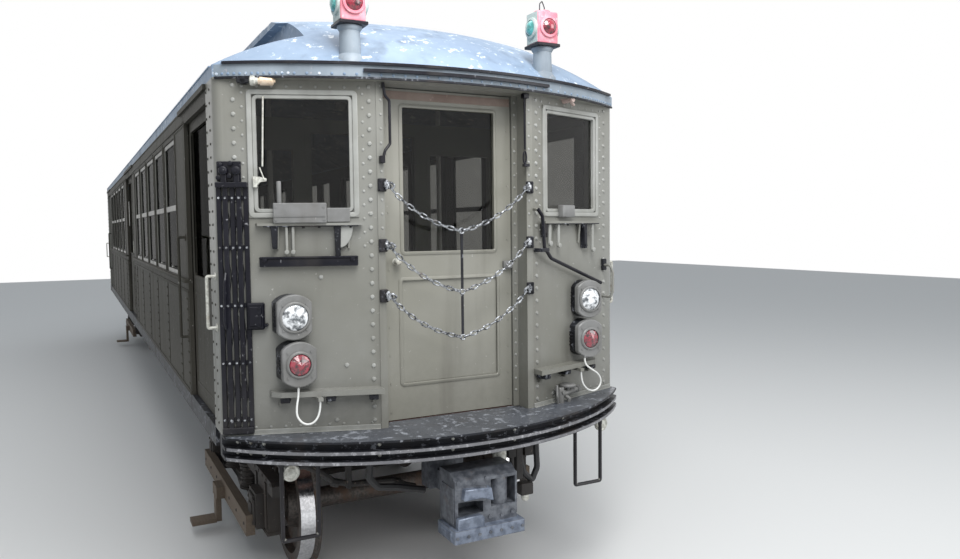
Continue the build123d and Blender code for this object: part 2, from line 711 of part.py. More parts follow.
for end_name, end in ends:
    with BuildPart() as fittings:
        for side in (-1, 1):
            near, far = step_x
            outline = [(near, panel_y(near)), (near, panel_y(near) + step_reach),
                       (far - 40, panel_y(far - 40) + step_reach), (far, panel_y(far) + step_reach - 40),
                       (far, panel_y(far))]
            add(plate([(side * x, end * y) for x, y in outline], step_z, step_z + step_thickness))
            near, far = ledge_x
            outline = [(near, panel_y(near)), (near, panel_y(near) + ledge_reach),
                       (far, panel_y(far) + ledge_reach), (far, panel_y(far))]
            add(plate([(side * x, end * y) for x, y in outline], ledge_z, ledge_z + ledge_thickness))
            for level, reach, places, drop in gusset_rows:
                for gusset_x in places:
                    face = panel_y(gusset_x + gusset_width / 2)
                    with BuildSketch(Plane.YZ.offset(side * gusset_x - gusset_width / 2)):
                        with BuildLine():
                            Polyline((end * (face - 12), level), (end * (face + 0.7 * reach), level),
                                     (end * (face + 0.3 * reach), level - drop),
                                     (end * (face - 12), level - drop), close=True)
                        make_face()
                    extrude(amount=gusset_width)
        bar_far, bar_near, bar_z, bar_height, bar_reach = grab_bar
        bar_x = abs(bar_far + bar_near) / 2
        bar_length = (bar_near - bar_far) / cos(panel_angle)
        add(panel_block(end, end, bar_x, bar_z, bar_length, bar_height, bar_reach - 14, bar_reach))
        for place_x in (-bar_far - 30, -bar_near + 30):
            add(panel_block(end, end, place_x, bar_z, 26, 26, -10, bar_reach))
        for points in rods:
            route = [off_panel(end, x, floor_top + z, out) for x, z, out in points]
            add(bent_rod(route, grab_radius, grab_bend))
        for cable_name, side, route in cable_routes:
            socket_x, socket_z, socket_out = route[-1]
            if end == -1:
                face = panel_y(socket_x + 14)
                outline = [(socket_x - 14, panel_y(socket_x - 14)), (socket_x - 14, face + socket_out + 20),
                           (socket_x + 14, face + socket_out + 20), (socket_x + 14, face)]
                add(plate([(side * x, end * y) for x, y in outline], floor_top + socket_z, step_z))
        add(panel_inside(end), mode=Mode.SUBTRACT)
        for side in (-1, 1):
            low, high = stirrup_z
            stirrup_y = end * (panel_y(sum(stirrup_x) / 2) + stirrup_out)
            corners = [(side * stirrup_x[0], stirrup_y, high), (side * stirrup_x[0], stirrup_y, low),
                       (side * stirrup_x[1], stirrup_y, low), (side * stirrup_x[1], stirrup_y, high)]
            add(bent_rod(corners, 10, 26))
        add(arc_sector(climber_radius - climber_depth, climber_radius, climber_bottom, floor_top, end),
            mode=Mode.SUBTRACT)
    finish(fittings.part, f"end_steps_{end_name}")

# Couplers: a drawbar from the centre sills and a head with its guide faces, hook roller and contact box
coupler_z = flange_height + 690
head_half = 200
head_low = coupler_z - 118
head_high = coupler_z + 190
head_y = (corner_y + 400, corner_y + 600)
contact_box = (225, coupler_z - 190, corner_y + end_reach)
roller_x = 106
head_pockets = (((20, 180), (70, 146)), ((-190, -30), (92, 250)))
guide_face = ((190, 0), (20, 0), (20, 46), (90, 20))
for end_name, end in ends:
    with BuildPart() as coupler:
        add(block(-70, 70, end * (corner_y - 60), end * (corner_y + 420), coupler_z - 60, coupler_z + 60))
        add(block(-120, 120, end * (corner_y - 60), end * (corner_y + 60),
                  coupler_z - 60, centre_sill_bottom))
        add(block(-head_half, head_half, end * (corner_y - 60), end * (corner_y + 60),
                  centre_sill_bottom - 40, centre_sill_bottom))
        with BuildSketch(Plane.YZ.offset(-head_half)):
            with BuildLine():
                Polyline((end * head_y[0], head_low), (end * head_y[1], head_low),
                         (end * head_y[1], head_high - 40), (end * (head_y[1] - 60), head_high),
                         (end * head_y[0], head_high), close=True)
            make_face()
        extrude(amount=2 * head_half)
        box_half, box_low, box_front = contact_box
        add(block(-box_half, box_half, end * (head_y[0] + 20), end * box_front, box_low, head_low + 2))
        for (near, far), (low, high) in head_pockets:
            add(block(end * near, end * far, end * (head_y[1] - 120), end * (head_y[1] + 1),
                      head_low + low, head_low + high), mode=Mode.SUBTRACT)
        add(cylinder(-end * roller_x, end * (head_y[1] - 60), head_low + 170, 55, 160, "Z"))
        with BuildSketch(Plane.XY.offset(head_low + 150)):
            with BuildLine():
                Polyline(*[(end * x, end * (head_y[1] + out)) for x, out in guide_face], close=True)
            make_face()
        extrude(amount=84)
    finish(coupler.part, f"coupler_{end_name}")

# Seats along the walls, between the doorways: a boxed base, a cushion with a round nose and a sloping back
seat_depth = 440
seat_height = 430
seat_base = 120
seat_nose = 60
seat_back_foot = 120
seat_back_head = 70
with BuildPart() as seats:
    for side in (-1, 1):
        inner_x = half_width - wall
        front_x = inner_x - seat_depth
        seat_top = floor_top + seat_height
        profile = [(inner_x, floor_top), (front_x + seat_nose, floor_top),
                   (front_x + seat_nose, floor_top + seat_base), (front_x, floor_top + seat_base + 60),
                   (front_x, seat_top - seat_nose), (front_x + seat_nose, seat_top),
                   (inner_x - seat_back_foot, seat_top), (inner_x - seat_back_head, belt_top - 40),
                   (inner_x - 20, belt_top - 20), (inner_x, belt_top - 20)]
        for end in (-1, 1):
            low, high = sorted((end * (centre_door_half + 160), end * (end_door_inner - 320)))
            with BuildSketch(Plane.XZ.offset(-high)):
                with BuildLine():
                    Polyline(*[(side * x, z) for x, z in profile], close=True)
                make_face()
            extrude(amount=high - low)
finish(seats.part, "seats")

# Stanchions by the doorways
pole_x = 700
pole_radius = 19
with BuildPart() as poles:
    for pole_y in (centre_door_half + 120, end_door_inner - 280):
        for end in (-1, 1):
            for side in (-1, 1):
                with Locations((side * pole_x, end * pole_y, floor_top)):
                    Cylinder(pole_radius, monitor_eave - floor_top + 2,
                             align=(Align.CENTER, Align.CENTER, Align.MIN))
    add(roof.part, mode=Mode.SUBTRACT)
finish(poles.part, "poles")

# Bulkheads between the saloon and the end platforms
bulkhead_y = end_door_inner - 160
bulkhead_half = 20
bulkhead_door_half = 420
bulkhead_window = (560, 1100)
with BuildPart() as bulkheads:
    for end in (-1, 1):
        inner_x = half_width - wall
        near, far = end * (bulkhead_y - bulkhead_half), end * (bulkhead_y + bulkhead_half)
        add(block(-inner_x, inner_x, near, far, floor_top, cornice_bottom))
        add(block(-bulkhead_door_half, bulkhead_door_half, near - end, far + end,
                  floor_top - 1, header_bottom), mode=Mode.SUBTRACT)
        for side in (-1, 1):
            add(block(side * bulkhead_window[0], side * bulkhead_window[1], near - end, far + end, belt_top,
                      window_top - 100), mode=Mode.SUBTRACT)
finish(bulkheads.part, "bulkheads")

# Tanks and boxes hung below the cross bearers: x, y and bottom of each box
gear_top = frame_top - bearer_depth
gear_boxes = ((520, 1080, -2250, -700, 520), (-1080, -560, -2250, -700, 560), (560, 1080, 1000, 2250, 600))
tank_radius = 190
tank_y = (700, 2260)
tank_x, tank_z = -820, 700
strap_half = 30
with BuildPart() as gear:
    for x0, x1, y0, y1, bottom in gear_boxes:
        add(block(x0, x1, y0, y1, bottom, gear_top))
    add(cylinder(tank_x, sum(tank_y) / 2, tank_z, tank_radius, tank_y[1] - tank_y[0], "Y"))
    for strap_y in (tank_y[0] + 50, tank_y[1] - 60):
        add(block(tank_x - 40, tank_x + 40, strap_y - strap_half, strap_y + strap_half, tank_z, gear_top))
finish(gear.part, "underfloor_gear")

# Trucks: the front one trails, the rear one carries the two motors
trucks = (
    ("front", -1, trailer_wheel_radius, trailer_half_base),
    ("rear", 1, motor_wheel_radius, motor_half_base),
)
side_frame_x = (900, 980)
frame_over_axle = 250
pedestal_drop = 130
journal_radius = 62
journal_reach = 1010
box_inner_x = 870
box_outer_x = journal_reach + 30
box_half = 105
axle_gap = 0.4
spring_x = 940
spring_radius = 62
spring_offset = 300
transom_offset = 200
bolster_top = centre_plate_top - seat_gap
bolster_half = 165
beam_x = (box_outer_x, box_outer_x + 60)
beam_z = (-160, -20)
shoe_x = 1336
shoe_low = flange_height + 60
hub_radius = axle_radius + 20
for end_name, end, wheel_radius, half_base in trucks:
    axle_z = flange_height + wheel_radius
    centre_y = end * truck_centre
    frame_high = axle_z + frame_over_axle
    frame_low = frame_high - 90
    equaliser_z = axle_z - 20
    with BuildPart() as truck:
        for side in (-1, 1):
            outline = [(-half_base - 330, frame_low), (-half_base - 330, frame_high - 20),
                       (-half_base - 300, frame_high), (half_base + 300, frame_high),
                       (half_base + 330, frame_high - 20), (half_base + 330, frame_low)]
            for axle in (half_base, -half_base):
                outline += [(axle + 190, frame_low), (axle + 165, axle_z - pedestal_drop),
                            (axle - 165, axle_z - pedestal_drop), (axle - 190, frame_low)]
            with BuildSketch(Plane.YZ.offset(side * side_frame_x[0])):
                with BuildLine():
                    Polyline(*[(centre_y + y, z) for y, z in outline], close=True)
                make_face()
                for axle in (-half_base, half_base):
                    with Locations((centre_y + axle, axle_z - 40)):
                        Rectangle(2 * box_half - 20, 250, mode=Mode.SUBTRACT)
            extrude(amount=side * (side_frame_x[1] - side_frame_x[0]))
            for axle in (-half_base, half_base):
                axle_y = centre_y + axle
                add(block(side * box_inner_x, side * box_outer_x, axle_y - box_half, axle_y + box_half,
                          axle_z - 110, axle_z + 130))
                add(cylinder(side * (box_inner_x + journal_reach) / 2, axle_y, axle_z,
                             journal_radius + axle_gap, journal_reach - box_inner_x + 2, "X"),
                    mode=Mode.SUBTRACT)
            add(block(side * (spring_x - 20), side * (spring_x + 20), centre_y - half_base + 80,
                      centre_y + half_base - 80, equaliser_z - 60, equaliser_z))
            for spring in (-1, 1):
                add(cylinder(side * spring_x, centre_y + spring * spring_offset,
                             (equaliser_z + frame_low) / 2, spring_radius, frame_low - equaliser_z, "Z"))
        for cross in (-1, 1):
            add(block(-side_frame_x[0], side_frame_x[0], centre_y + cross * (transom_offset - 30),
                      centre_y + cross * (transom_offset + 30), frame_high - 130, frame_high - 10))
    finish(truck.part, f"truck_frame_{end_name}")

    with BuildPart() as bolster:
        add(block(-1080, 1080, centre_y - bolster_half, centre_y + bolster_half,
                  frame_high, bolster_top - 30))
        add(block(-860, 860, centre_y - bolster_half, centre_y + bolster_half, frame_high - 200, frame_high))
        with Locations((0, centre_y, bolster_top - 30)):
            Cylinder(centre_plate_radius, 30, align=(Align.CENTER, Align.CENTER, Align.MIN))
    finish(bolster.part, f"truck_bolster_{end_name}")

    with BuildPart() as beam:
        for side in (-1, 1):
            add(block(side * beam_x[0], side * beam_x[1], centre_y - half_base - 60,
                      centre_y + half_base + 60, axle_z + beam_z[0], axle_z + beam_z[1]))
            add(block(side * beam_x[1], side * (beam_x[1] + 60), centre_y - 90, centre_y + 90,
                      axle_z + beam_z[0] + 10, axle_z + beam_z[1] - 40))
            add(block(side * (beam_x[1] + 60), side * shoe_x, centre_y - 70, centre_y + 70,
                      shoe_low, shoe_low + 30))
            add(block(side * (beam_x[1] + 20), side * (beam_x[1] + 60), centre_y - 50, centre_y + 50,
                      shoe_low, axle_z + beam_z[1] - 40))
    finish(beam.part, f"shoe_beams_{end_name}")

    for axle_name, axle in (("a", -1), ("b", 1)):
        axle_y = centre_y + axle * half_base
        back = wheel_back_to_back / 2
        flange_radius = wheel_radius + flange_height
        hub_x = back + wheel_width + 20
        profile = [(back, 150), (back, flange_radius - 8), (back + 10, flange_radius),
                   (back + 24, flange_radius - 6), (back + 36, wheel_radius + 2),
                   (back + wheel_width, wheel_radius - 4), (back + wheel_width, wheel_radius - 62),
                   (back + 82, wheel_radius - 66), (back + 70, 175), (hub_x, 150), (hub_x, hub_radius),
                   (journal_reach - 150, hub_radius), (journal_reach - 150, journal_radius),
                   (journal_reach, journal_radius), (journal_reach, 0), (0, 0), (0, axle_radius),
                   (back - 20, axle_radius), (back - 20, 150)]
        with BuildPart() as wheelset:
            with BuildSketch(Plane(origin=(0, axle_y, axle_z), x_dir=(1, 0, 0), z_dir=(0, -1, 0))):
                with BuildLine():
                    Polyline(*profile, close=True)
                make_face()
            revolve(axis=Axis((0, axle_y, axle_z), (1, 0, 0)))
            mirror(about=Plane.YZ)
        finish(wheelset.part, f"wheelset_{end_name}_{axle_name}")

# Traction motors, hung between the axles of the rear truck on noses
motor_axle_z = flange_height + motor_wheel_radius
motor_x = 420
motor_low_y = 250
nose_x = 300
with BuildPart() as motors:
    for axle in (-1, 1):
        low_y = truck_centre + axle * motor_low_y
        high_y = truck_centre + axle * (motor_half_base - axle_radius - 12)
        add(block(-motor_x, motor_x, low_y, high_y, motor_axle_z - 260, motor_axle_z + 120))
        add(block(-nose_x, nose_x, truck_centre + axle * (motor_low_y - 25), low_y,
                  motor_axle_z + 70, motor_axle_z + 120))
finish(motors.part, "traction_motors")

# Sliding side doors: a leaf with a glazed window, hung from the header's track
rail_z = header_bottom + track_depth
leaf_top = header_bottom + 12
leaf_x = (pocket_inner + pocket_outer) / 2
leaf_stile = 120
leaf_rail = 30


def sliding_leaf(side, near, far):
    """Side door leaf between two distances along the car, with its window and hangers."""
    low, high = min(near, far), max(near, far)
    with BuildPart() as leaf:
        add(block(side * (leaf_x - leaf_thickness / 2), side * (leaf_x + leaf_thickness / 2), low, high,
                  floor_top + leaf_lift, leaf_top))
        for skin in (-1, 1):
            with Locations((side * (leaf_x + skin * leaf_thickness / 2), (low + high) / 2, window_z)):
                Box(leaf_thickness - glass_thickness, high - low - 2 * leaf_stile,
                    window_height - 2 * leaf_rail, mode=Mode.SUBTRACT)
        for share in (0.2, 0.8):
            with Locations((side * leaf_x, low + (high - low) * share, leaf_top)):
                Box(leaf_thickness - 14, hanger_width, rail_z - seat_gap - leaf_top,
                    align=(Align.CENTER, Align.CENTER, Align.MIN))
    return leaf.part


for side_name, side in sides:
    for end_name, end in ends:
        end_leaf = sliding_leaf(side, end * (end_door_outer - 4), end * (end_door_inner - leaf_overlap))
        finish(end_leaf, f"end_door_{end_name}_{side_name}")
        centre_leaf = sliding_leaf(side, end * 4, end * (centre_door_half + leaf_overlap))
        finish(centre_leaf, f"centre_door_{end_name}_{side_name}")

# End doors: a glazed upper half and a sunk lower panel with mouldings, hinged on the right as seen
# from outside and opening inwards
door_half = post_inner_x - door_gap
door_glass = (610, 850, floor_top + 1437)
door_panel = (640, 615, floor_top + 530)
panel_sink = 8
moulding = 24
moulding_proud = 7
knob_x = 360
knob_z = floor_top + 954
for end_name, end in ends:
    outer_y = end * (panel_y(post_outer_x) - storm_door_setback)
    inner_y = outer_y - end * storm_door_thickness
    door_face = Plane(origin=(0, outer_y, 0), x_dir=(1, 0, 0), z_dir=(0, end, 0))
    up = door_face.y_dir.Z
    with BuildPart() as storm_door:
        add(block(-door_half, door_half, outer_y, inner_y, floor_top + leaf_lift, storm_door_top))
        glass_width, glass_height, glass_z = door_glass
        with Locations((0, (outer_y + inner_y) / 2, glass_z)):
            Box(glass_width, 3 * storm_door_thickness, glass_height, mode=Mode.SUBTRACT)
            Box(glass_width, glass_thickness, glass_height)
        panel_width, panel_height, panel_z = door_panel
        with Locations((0, outer_y, panel_z)):
            Box(panel_width, 2 * panel_sink, panel_height, mode=Mode.SUBTRACT)
        for width, height, z in (door_glass, door_panel):
            with BuildSketch(door_face):
                with Locations((0, up * z)):
                    Rectangle(width + 2 * moulding, height + 2 * moulding)
                    Rectangle(width, height, mode=Mode.SUBTRACT)
            extrude(amount=moulding_proud)
        with Locations((end * knob_x, outer_y + end * 34, knob_z)):
            Sphere(24)
        add(cylinder(end * knob_x, outer_y + end * 15, knob_z, 10, 40, "Y"))
        hinge_y = end * (panel_y(post_outer_x) - hinge_depth)
        for level in hinge_levels:
            add(cylinder(-end * hinge_x, hinge_y, level, hinge_radius, 30, "Z"))
            add(block(-end * (hinge_x - hinge_radius), -end * door_half, hinge_y, inner_y,
                      level - 15, level + 15))
    finish(storm_door.part, f"storm_door_{end_name}")

# Cables below the tail lamps of the front end
for cable_name, side, route in cable_routes:
    points = [Vector(side * x, -panel_y(x) - out, floor_top + z) for x, z, out in route]
    radii = []
    for before, at, after in zip(points, points[1:], points[2:]):
        turn = (at - before).get_angle(after - at)
        radii.append(0.45 * min((at - before).length, (after - at).length) / tan(radians(turn / 2)))
    print(f"cable_{cable_name}", "radii", [round(r) for r in radii])
    with BuildPart() as cable:
        with BuildLine() as path:
            FilletPolyline(*points, radius=radii)
        with BuildSketch(Plane(origin=path.line @ 0, z_dir=path.line % 0)):
            Circle(cable_radius)
        sweep(path=path.line)
    length = sum(edge.length for edge in path.edges())
    print("length", round(length), "volume ratio", cable.part.volume / (length * pi * cable_radius ** 2))
    finish(cable.part, f"cable_{cable_name}")
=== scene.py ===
import json
import math

import bmesh
import bpy
from mathutils import Matrix, Vector


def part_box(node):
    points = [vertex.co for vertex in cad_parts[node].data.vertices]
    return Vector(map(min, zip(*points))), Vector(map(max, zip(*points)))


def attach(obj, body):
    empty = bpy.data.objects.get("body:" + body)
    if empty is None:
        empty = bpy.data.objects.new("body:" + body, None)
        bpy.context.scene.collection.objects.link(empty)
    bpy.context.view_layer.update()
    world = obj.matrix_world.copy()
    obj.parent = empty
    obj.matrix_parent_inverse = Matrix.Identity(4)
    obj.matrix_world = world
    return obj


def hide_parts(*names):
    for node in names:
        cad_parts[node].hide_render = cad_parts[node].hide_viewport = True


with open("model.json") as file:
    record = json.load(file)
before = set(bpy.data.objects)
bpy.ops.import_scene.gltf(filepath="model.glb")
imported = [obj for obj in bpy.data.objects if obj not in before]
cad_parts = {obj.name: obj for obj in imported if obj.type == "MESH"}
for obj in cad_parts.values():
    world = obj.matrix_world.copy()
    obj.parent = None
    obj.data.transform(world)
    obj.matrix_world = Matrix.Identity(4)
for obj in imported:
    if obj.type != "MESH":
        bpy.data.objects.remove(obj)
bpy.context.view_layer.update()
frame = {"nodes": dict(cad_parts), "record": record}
print("frame loaded:", len(frame["nodes"]), "nodes")

# main sizes of the car in metres, as the CAD bodies have them
car = {
    "halfWidth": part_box("side_wall_right")[1].x,
    "floorTop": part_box("floor")[1].z,
    "cornerY": 7.13,
    "panelAngle": math.radians(19),
    "postX": .5,
    "postFront": .47,
    "jambDepth": .118,
    "doorDepth": .13,
    "roofEndRadius": 2.414,
    "roofEndCentre": 5.126,
    "climberRadius": 1.8097,
    "climberCentre": 5.9703,
    "climberReach": 1.338,
    "beltTop": 1.961,
    "windowTop": 2.988,
}
ends = {"front": Matrix(), "rear": Matrix.Rotation(math.pi, 4, "Z")}
sideNames = {-1: "left", 1: "right"}
facing = Matrix.Rotation(math.pi / 2, 4, "X")


def at(x, y, z):
    return Matrix.Translation((x, y, z))


def about(degrees, axis):
    return Matrix.Rotation(math.radians(degrees), 4, axis)


def panelY(x):
    # distance from the car's middle to the slanted end panel
    return car["cornerY"] + (car["halfWidth"] - abs(x)) * math.tan(car["panelAngle"])


def panelPlace(x, z):
    # on a front end panel: x along the panel, -y out of the car, z up
    return at(x, -panelY(x), z) @ Matrix.Rotation(math.copysign(car["panelAngle"], x), 4, "Z")


def onPanel(x, z, out=0.0):
    return Vector((x, -panelY(x) - out, z))


def sidePlace(side, y, z, out=0.0):
    # on a side's skin, seen from outside: x to the right, -y out of the car, z up
    return at(side * (car["halfWidth"] + out), y, z) @ about(side * 90, "Z")


def arcPlace(turn, radius, centre, z):
    # on the front of an arc in plan, -y out of the car
    return at(0, -centre, z) @ Matrix.Rotation(turn, 4, "Z") @ at(0, -radius, 0)


postFace = -panelY(car["postX"])
doorFace = postFace + car["doorDepth"]

# camera at the photograph's place
view = {
    "place": (-2.053, -11.626, 2.299),
    "turn": 27.5,
    "tilt": -3.41,
    "lean": -.62,
    "focalPixels": 781.7,
    "axisRow": 273.7,
    "frameSize": (960, 559),
    "sensor": 36.0,
}


def addObject(name, data):
    made = bpy.data.objects.new(name, data)
    bpy.context.collection.objects.link(made)
    return made


def addCamera():
    turn, tilt, lean = (math.radians(view[key]) for key in ("turn", "tilt", "lean"))
    ahead = Vector((math.sin(turn) * math.cos(tilt), math.cos(turn) * math.cos(tilt), math.sin(tilt)))
    level = Vector((math.cos(turn), -math.sin(turn), 0))
    upright = level.cross(ahead)
    right = level * math.cos(lean) + upright * math.sin(lean)
    up = upright * math.cos(lean) - level * math.sin(lean)
    camera = addObject("camera", bpy.data.cameras.new("camera"))
    camera.matrix_world = at(*view["place"]) @ Matrix((right, up, -ahead)).transposed().to_4x4()
    width, height = view["frameSize"]
    camera.data.sensor_width = view["sensor"]
    camera.data.lens = view["focalPixels"] / width * view["sensor"]
    camera.data.shift_y = (view["axisRow"] - height / 2) / width
    bpy.context.scene.camera = camera


addCamera()
print("camera placed")


# finishes: a signal is one socket of a material, and sums on it add their nodes
class Signal:
    def __init__(self, finish, socket):
        self.finish = finish
        self.socket = socket

    def combine(self, kind, first, second):
        return self.finish.node("ShaderNodeMath", {"operation": kind}, {0: first, 1: second})

    def __add__(self, other):
        return self.combine("ADD", self, other)

    def __sub__(self, other):
        return self.combine("SUBTRACT", self, other)

    def __rsub__(self, other):
        return self.combine("SUBTRACT", other, self)

    def __mul__(self, other):
        return self.combine("MULTIPLY", self, other)

    __radd__ = __add__
    __rmul__ = __mul__


class Finish:
    def __init__(self, name, constants):
        self.material = bpy.data.materials.new(name)
        self.material.use_nodes = True
        self.tree = self.material.node_tree
        self.shader = self.tree.nodes["Principled BSDF"]
        for key, value in constants.items():
            self.shader.inputs[key].default_value = value
        self.place = self.node("ShaderNodeTexCoord", {}, {}, "Object")

    def node(self, kind, settings, inputs, output=0):
        made = self.tree.nodes.new(kind)
        for key, value in settings.items():
            setattr(made, key, value)
        for key, value in inputs.items():
            self.feed(made.inputs[key], value)
        return Signal(self, made.outputs[output])

    def feed(self, socket, value):
        if isinstance(value, Signal):
            self.tree.links.new(value.socket, socket)
        else:
            socket.default_value = value

    def set(self, **values):
        for key, value in values.items():
            self.feed(self.shader.inputs[key.replace("_", " ")], value)
        return self.material

    def axis(self, name):
        return self.node("ShaderNodeSeparateXYZ", {}, {0: self.place}, name)

    def noise(self, scale, detail=3.0, stretch=(1, 1, 1), rough=.55):
        place = self.node("ShaderNodeMapping", {}, {"Vector": self.place, "Scale": stretch})
        return self.node("ShaderNodeTexNoise", {},
                         {"Vector": place, "Scale": scale, "Detail": detail, "Roughness": rough}, "Fac")

    def between(self, value, low, high):
        # 0 below low, 1 above high, smooth in between
        return self.node("ShaderNodeMapRange", {"interpolation_type": "SMOOTHSTEP"},
                         {"Value": value, "From Min": low, "From Max": high})

    def mix(self, share, first, second):
        first, second = (value if isinstance(value, Signal) else (*value, 1) for value in (first, second))
        return self.node("ShaderNodeMix", {"data_type": "RGBA"}, {0: share, 6: first, 7: second}, 2)

    def bump(self, height, strength, distance):
        return self.node("ShaderNodeBump", {}, {"Height": height, "Strength": strength, "Distance": distance})


def wornPaint(name, colour, faded, dirt, chip, chipRange, rough, specular=.4, patchScale=1.1, chipScale=38,
              streakShare=.35, dust=.4, dustLow=1.15, dustHigh=1.75):
    # paint with soft patches, rain streaks, chips, and dust low down
    finish = Finish(name, {"Specular IOR Level": specular})
    patches = finish.between(finish.noise(patchScale, 4), .35, .68)
    grain = finish.noise(26, 5)
    streaks = finish.between(finish.noise(5.5, 5, (1, 1, .07)), .52, .74)
    chips = finish.between(finish.noise(chipScale, 6, (1, 1, .8), .7), *chipRange)
    low = 1 - finish.between(finish.axis("Z"), dustLow, dustHigh)
    mixed = finish.mix(patches * .6, colour, faded)
    mixed = finish.mix(streaks * streakShare, mixed, dirt)
    mixed = finish.mix(low * dust * grain, mixed, dirt)
    height = .5 * grain + .4 * finish.noise(3, 2) - .5 * chips
    return finish.set(Base_Color=finish.mix(chips * .8, mixed, chip), Normal=finish.bump(height, .25, .004),
                      Roughness=rough + .22 * (grain - .5) + .15 * streaks)


def bareMetal(name, dark, light, rust, rustRange, rough, metal, depth=.002, grainScale=60):
    finish = Finish(name, {"Specular IOR Level": .5})
    grain = finish.noise(grainScale, 6)
    rusted = finish.between(finish.noise(9, 6, rough=.7), *rustRange)
    bright = finish.mix(finish.between(grain, .35, .65), dark, light)
    return finish.set(Base_Color=finish.mix(rusted, bright, rust),
                      Roughness=rough + .3 * rusted + .2 * (grain - .5),
                      Metallic=metal * (1 - rusted), Normal=finish.bump(grain + rusted, .3, depth))


def clearGlass(name, colour, ior):
    finish = Finish(name, {"Transmission Weight": 1.0, "IOR": ior})
    smear = finish.between(finish.noise(7, 5, (1, 1, .5)), .5, .75)
    return finish.set(Base_Color=finish.mix(smear * .5, colour, [1.3 * value for value in colour]),
                      Roughness=.02 + .08 * smear)


def lensGlass(name, colour, glow):
    finish = Finish(name, {"Coat Weight": 1.0, "Coat Roughness": .03, "Roughness": .12,
                           "Specular IOR Level": .8})
    ripple = finish.between(finish.noise(34, 4), .36, .6)
    return finish.set(Base_Color=finish.mix(ripple, colour, glow), Normal=finish.bump(ripple, .5, .002))


def weathered(name, dark, light, rough):
    finish = Finish(name, {})
    lines = finish.noise(9, 6, (8, .6, 8))
    return finish.set(Base_Color=finish.mix(lines, dark, light), Roughness=rough + .2 * (lines - .5),
                      Normal=finish.bump(lines, .4, .003))


def rattanWeave(name, dark, light, worn):
    finish = Finish(name, {"Specular IOR Level": .35})
    waves = [finish.node("ShaderNodeTexWave", {"bands_direction": axis},
                         {"Vector": finish.place, "Scale": 38.0, "Distortion": .6}, "Fac") for axis in "YZ"]
    weave = waves[0] * waves[1]
    wear = finish.noise(6, 4)
    return finish.set(Base_Color=finish.mix(wear * .5, finish.mix(weave, dark, light), worn),
                      Roughness=.5 + .2 * wear, Normal=finish.bump(weave, .6, .003))


# what all olive paints share: dirt, chip and chip range
olive = ((.1, .092, .078), (.5, .49, .46), (.65, .71))
# colour, faded, dirt, chip, chip range and roughness, then the other numbers of wornPaint
paints = {
    "bodyPaint": ((.19, .188, .164), (.285, .286, .27), *olive, .36, {}),
    # shadedSidePaint is the body paint darkened to about a fifth: painted shade over the car's sides
    "shadedSidePaint": ((.04, .038, .031), (.065, .063, .053), *olive, .58, {"specular": .12}),
    # litTrimPaint is the body paint made lighter for frames, bars, angles and rivets: partly worn paint, partly
    # painted highlight where they catch the light
    "litTrimPaint": ((.28, .282, .26), (.4, .405, .39), *olive, .36, {"patchScale": 5}),
    "lampPaint": ((.165, .165, .16), (.24, .24, .24), *olive, .36, {"patchScale": 9}),
    "sashPaint": ((.12, .12, .105), (.18, .18, .16), *olive, .36, {"patchScale": 5}),
    "doorPaint": ((.235, .23, .195), (.3, .295, .265), *olive, .36, {}),
    "roofPaint": ((.17, .235, .33), (.29, .38, .49), (.09, .11, .14), (.78, .82, .85), (.58, .66), .5,
                  {"patchScale": 2.2, "streakShare": .5, "dust": 0.0, "chipScale": 14}),
    "corniceBand": ((.2, .24, .28), (.33, .38, .43), (.1, .1, .11), (.5, .44, .44), (.62, .7), .5,
                    {"patchScale": 3}),
    "platformPaint": ((.06, .066, .08), (.11, .12, .14), (.08, .07, .06), (.32, .34, .38), (.54, .64), .3,
                      {"chipScale": 20, "dust": .1, "patchScale": 4}),
    "framePaint": ((.01, .0105, .013), (.03, .032, .04), (.07, .055, .045), (.26, .27, .3), (.56, .65), .42,
                   {"specular": .2, "chipScale": 22, "dustLow": .6, "dustHigh": 1.1, "patchScale": 4}),
    "wornEdge": ((.14, .14, .15), (.24, .24, .25), (.05, .045, .045), (.42, .42, .44), (.52, .64), .4,
                 {"chipScale": 30, "patchScale": 6, "dust": 0.0}),
    "gatePaint": ((.005, .005, .009), (.014, .0145, .021), (.05, .045, .04), (.3, .3, .32), (.64, .7), .32,
                  {"specular": .25, "patchScale": 6}),
    "interiorPaint": ((.2, .21, .16), (.25, .26, .2), (.12, .11, .09), (.3, .32, .27), (.7, .76), .4, {}),
    "truckPaint": ((.018, .017, .017), (.04, .036, .034), (.07, .052, .04), (.2, .16, .13), (.6, .7), .7,
                   {"dustLow": .1, "dustHigh": .9, "patchScale": 5}),
    "floorPaint": ((.12, .05, .035), (.2, .12, .1), (.08, .07, .06), (.25, .22, .2), (.62, .7), .6,
                   {"dustHigh": 1.4}),
    "enamel": ((.75, .75, .7), (.82, .82, .78), (.4, .38, .33), (.25, .24, .22), (.68, .74), .25, {}),
    "markerPaint": ((.7, .2, .26), (.85, .46, .53), (.3, .08, .07), (.8, .7, .68), (.58, .68), .4,
                    {"patchScale": 12}),
    # markerSideGlare paints the marker lamps' side faces pale teal-grey: painted glare
    "markerSideGlare": ((.42, .5, .48), (.55, .62, .6), (.25, .27, .26), (.7, .5, .5), (.62, .7), .4,
                   {"patchScale": 12}),
    # doorHeadShadowPaint is a brown band across the top of the end door: painted shadow of the door head and
    # gutter
    "doorHeadShadowPaint": ((.2, .14, .115), (.29, .235, .2), (.07, .05, .045), (.4, .3, .27), (.62, .7), .45,
                    {"patchScale": 5}),
    "pinkFitting": ((.4, .3, .27), (.52, .42, .38), (.15, .08, .07), (.6, .5, .45), (.6, .68), .5,
                    {"patchScale": 15}),
}
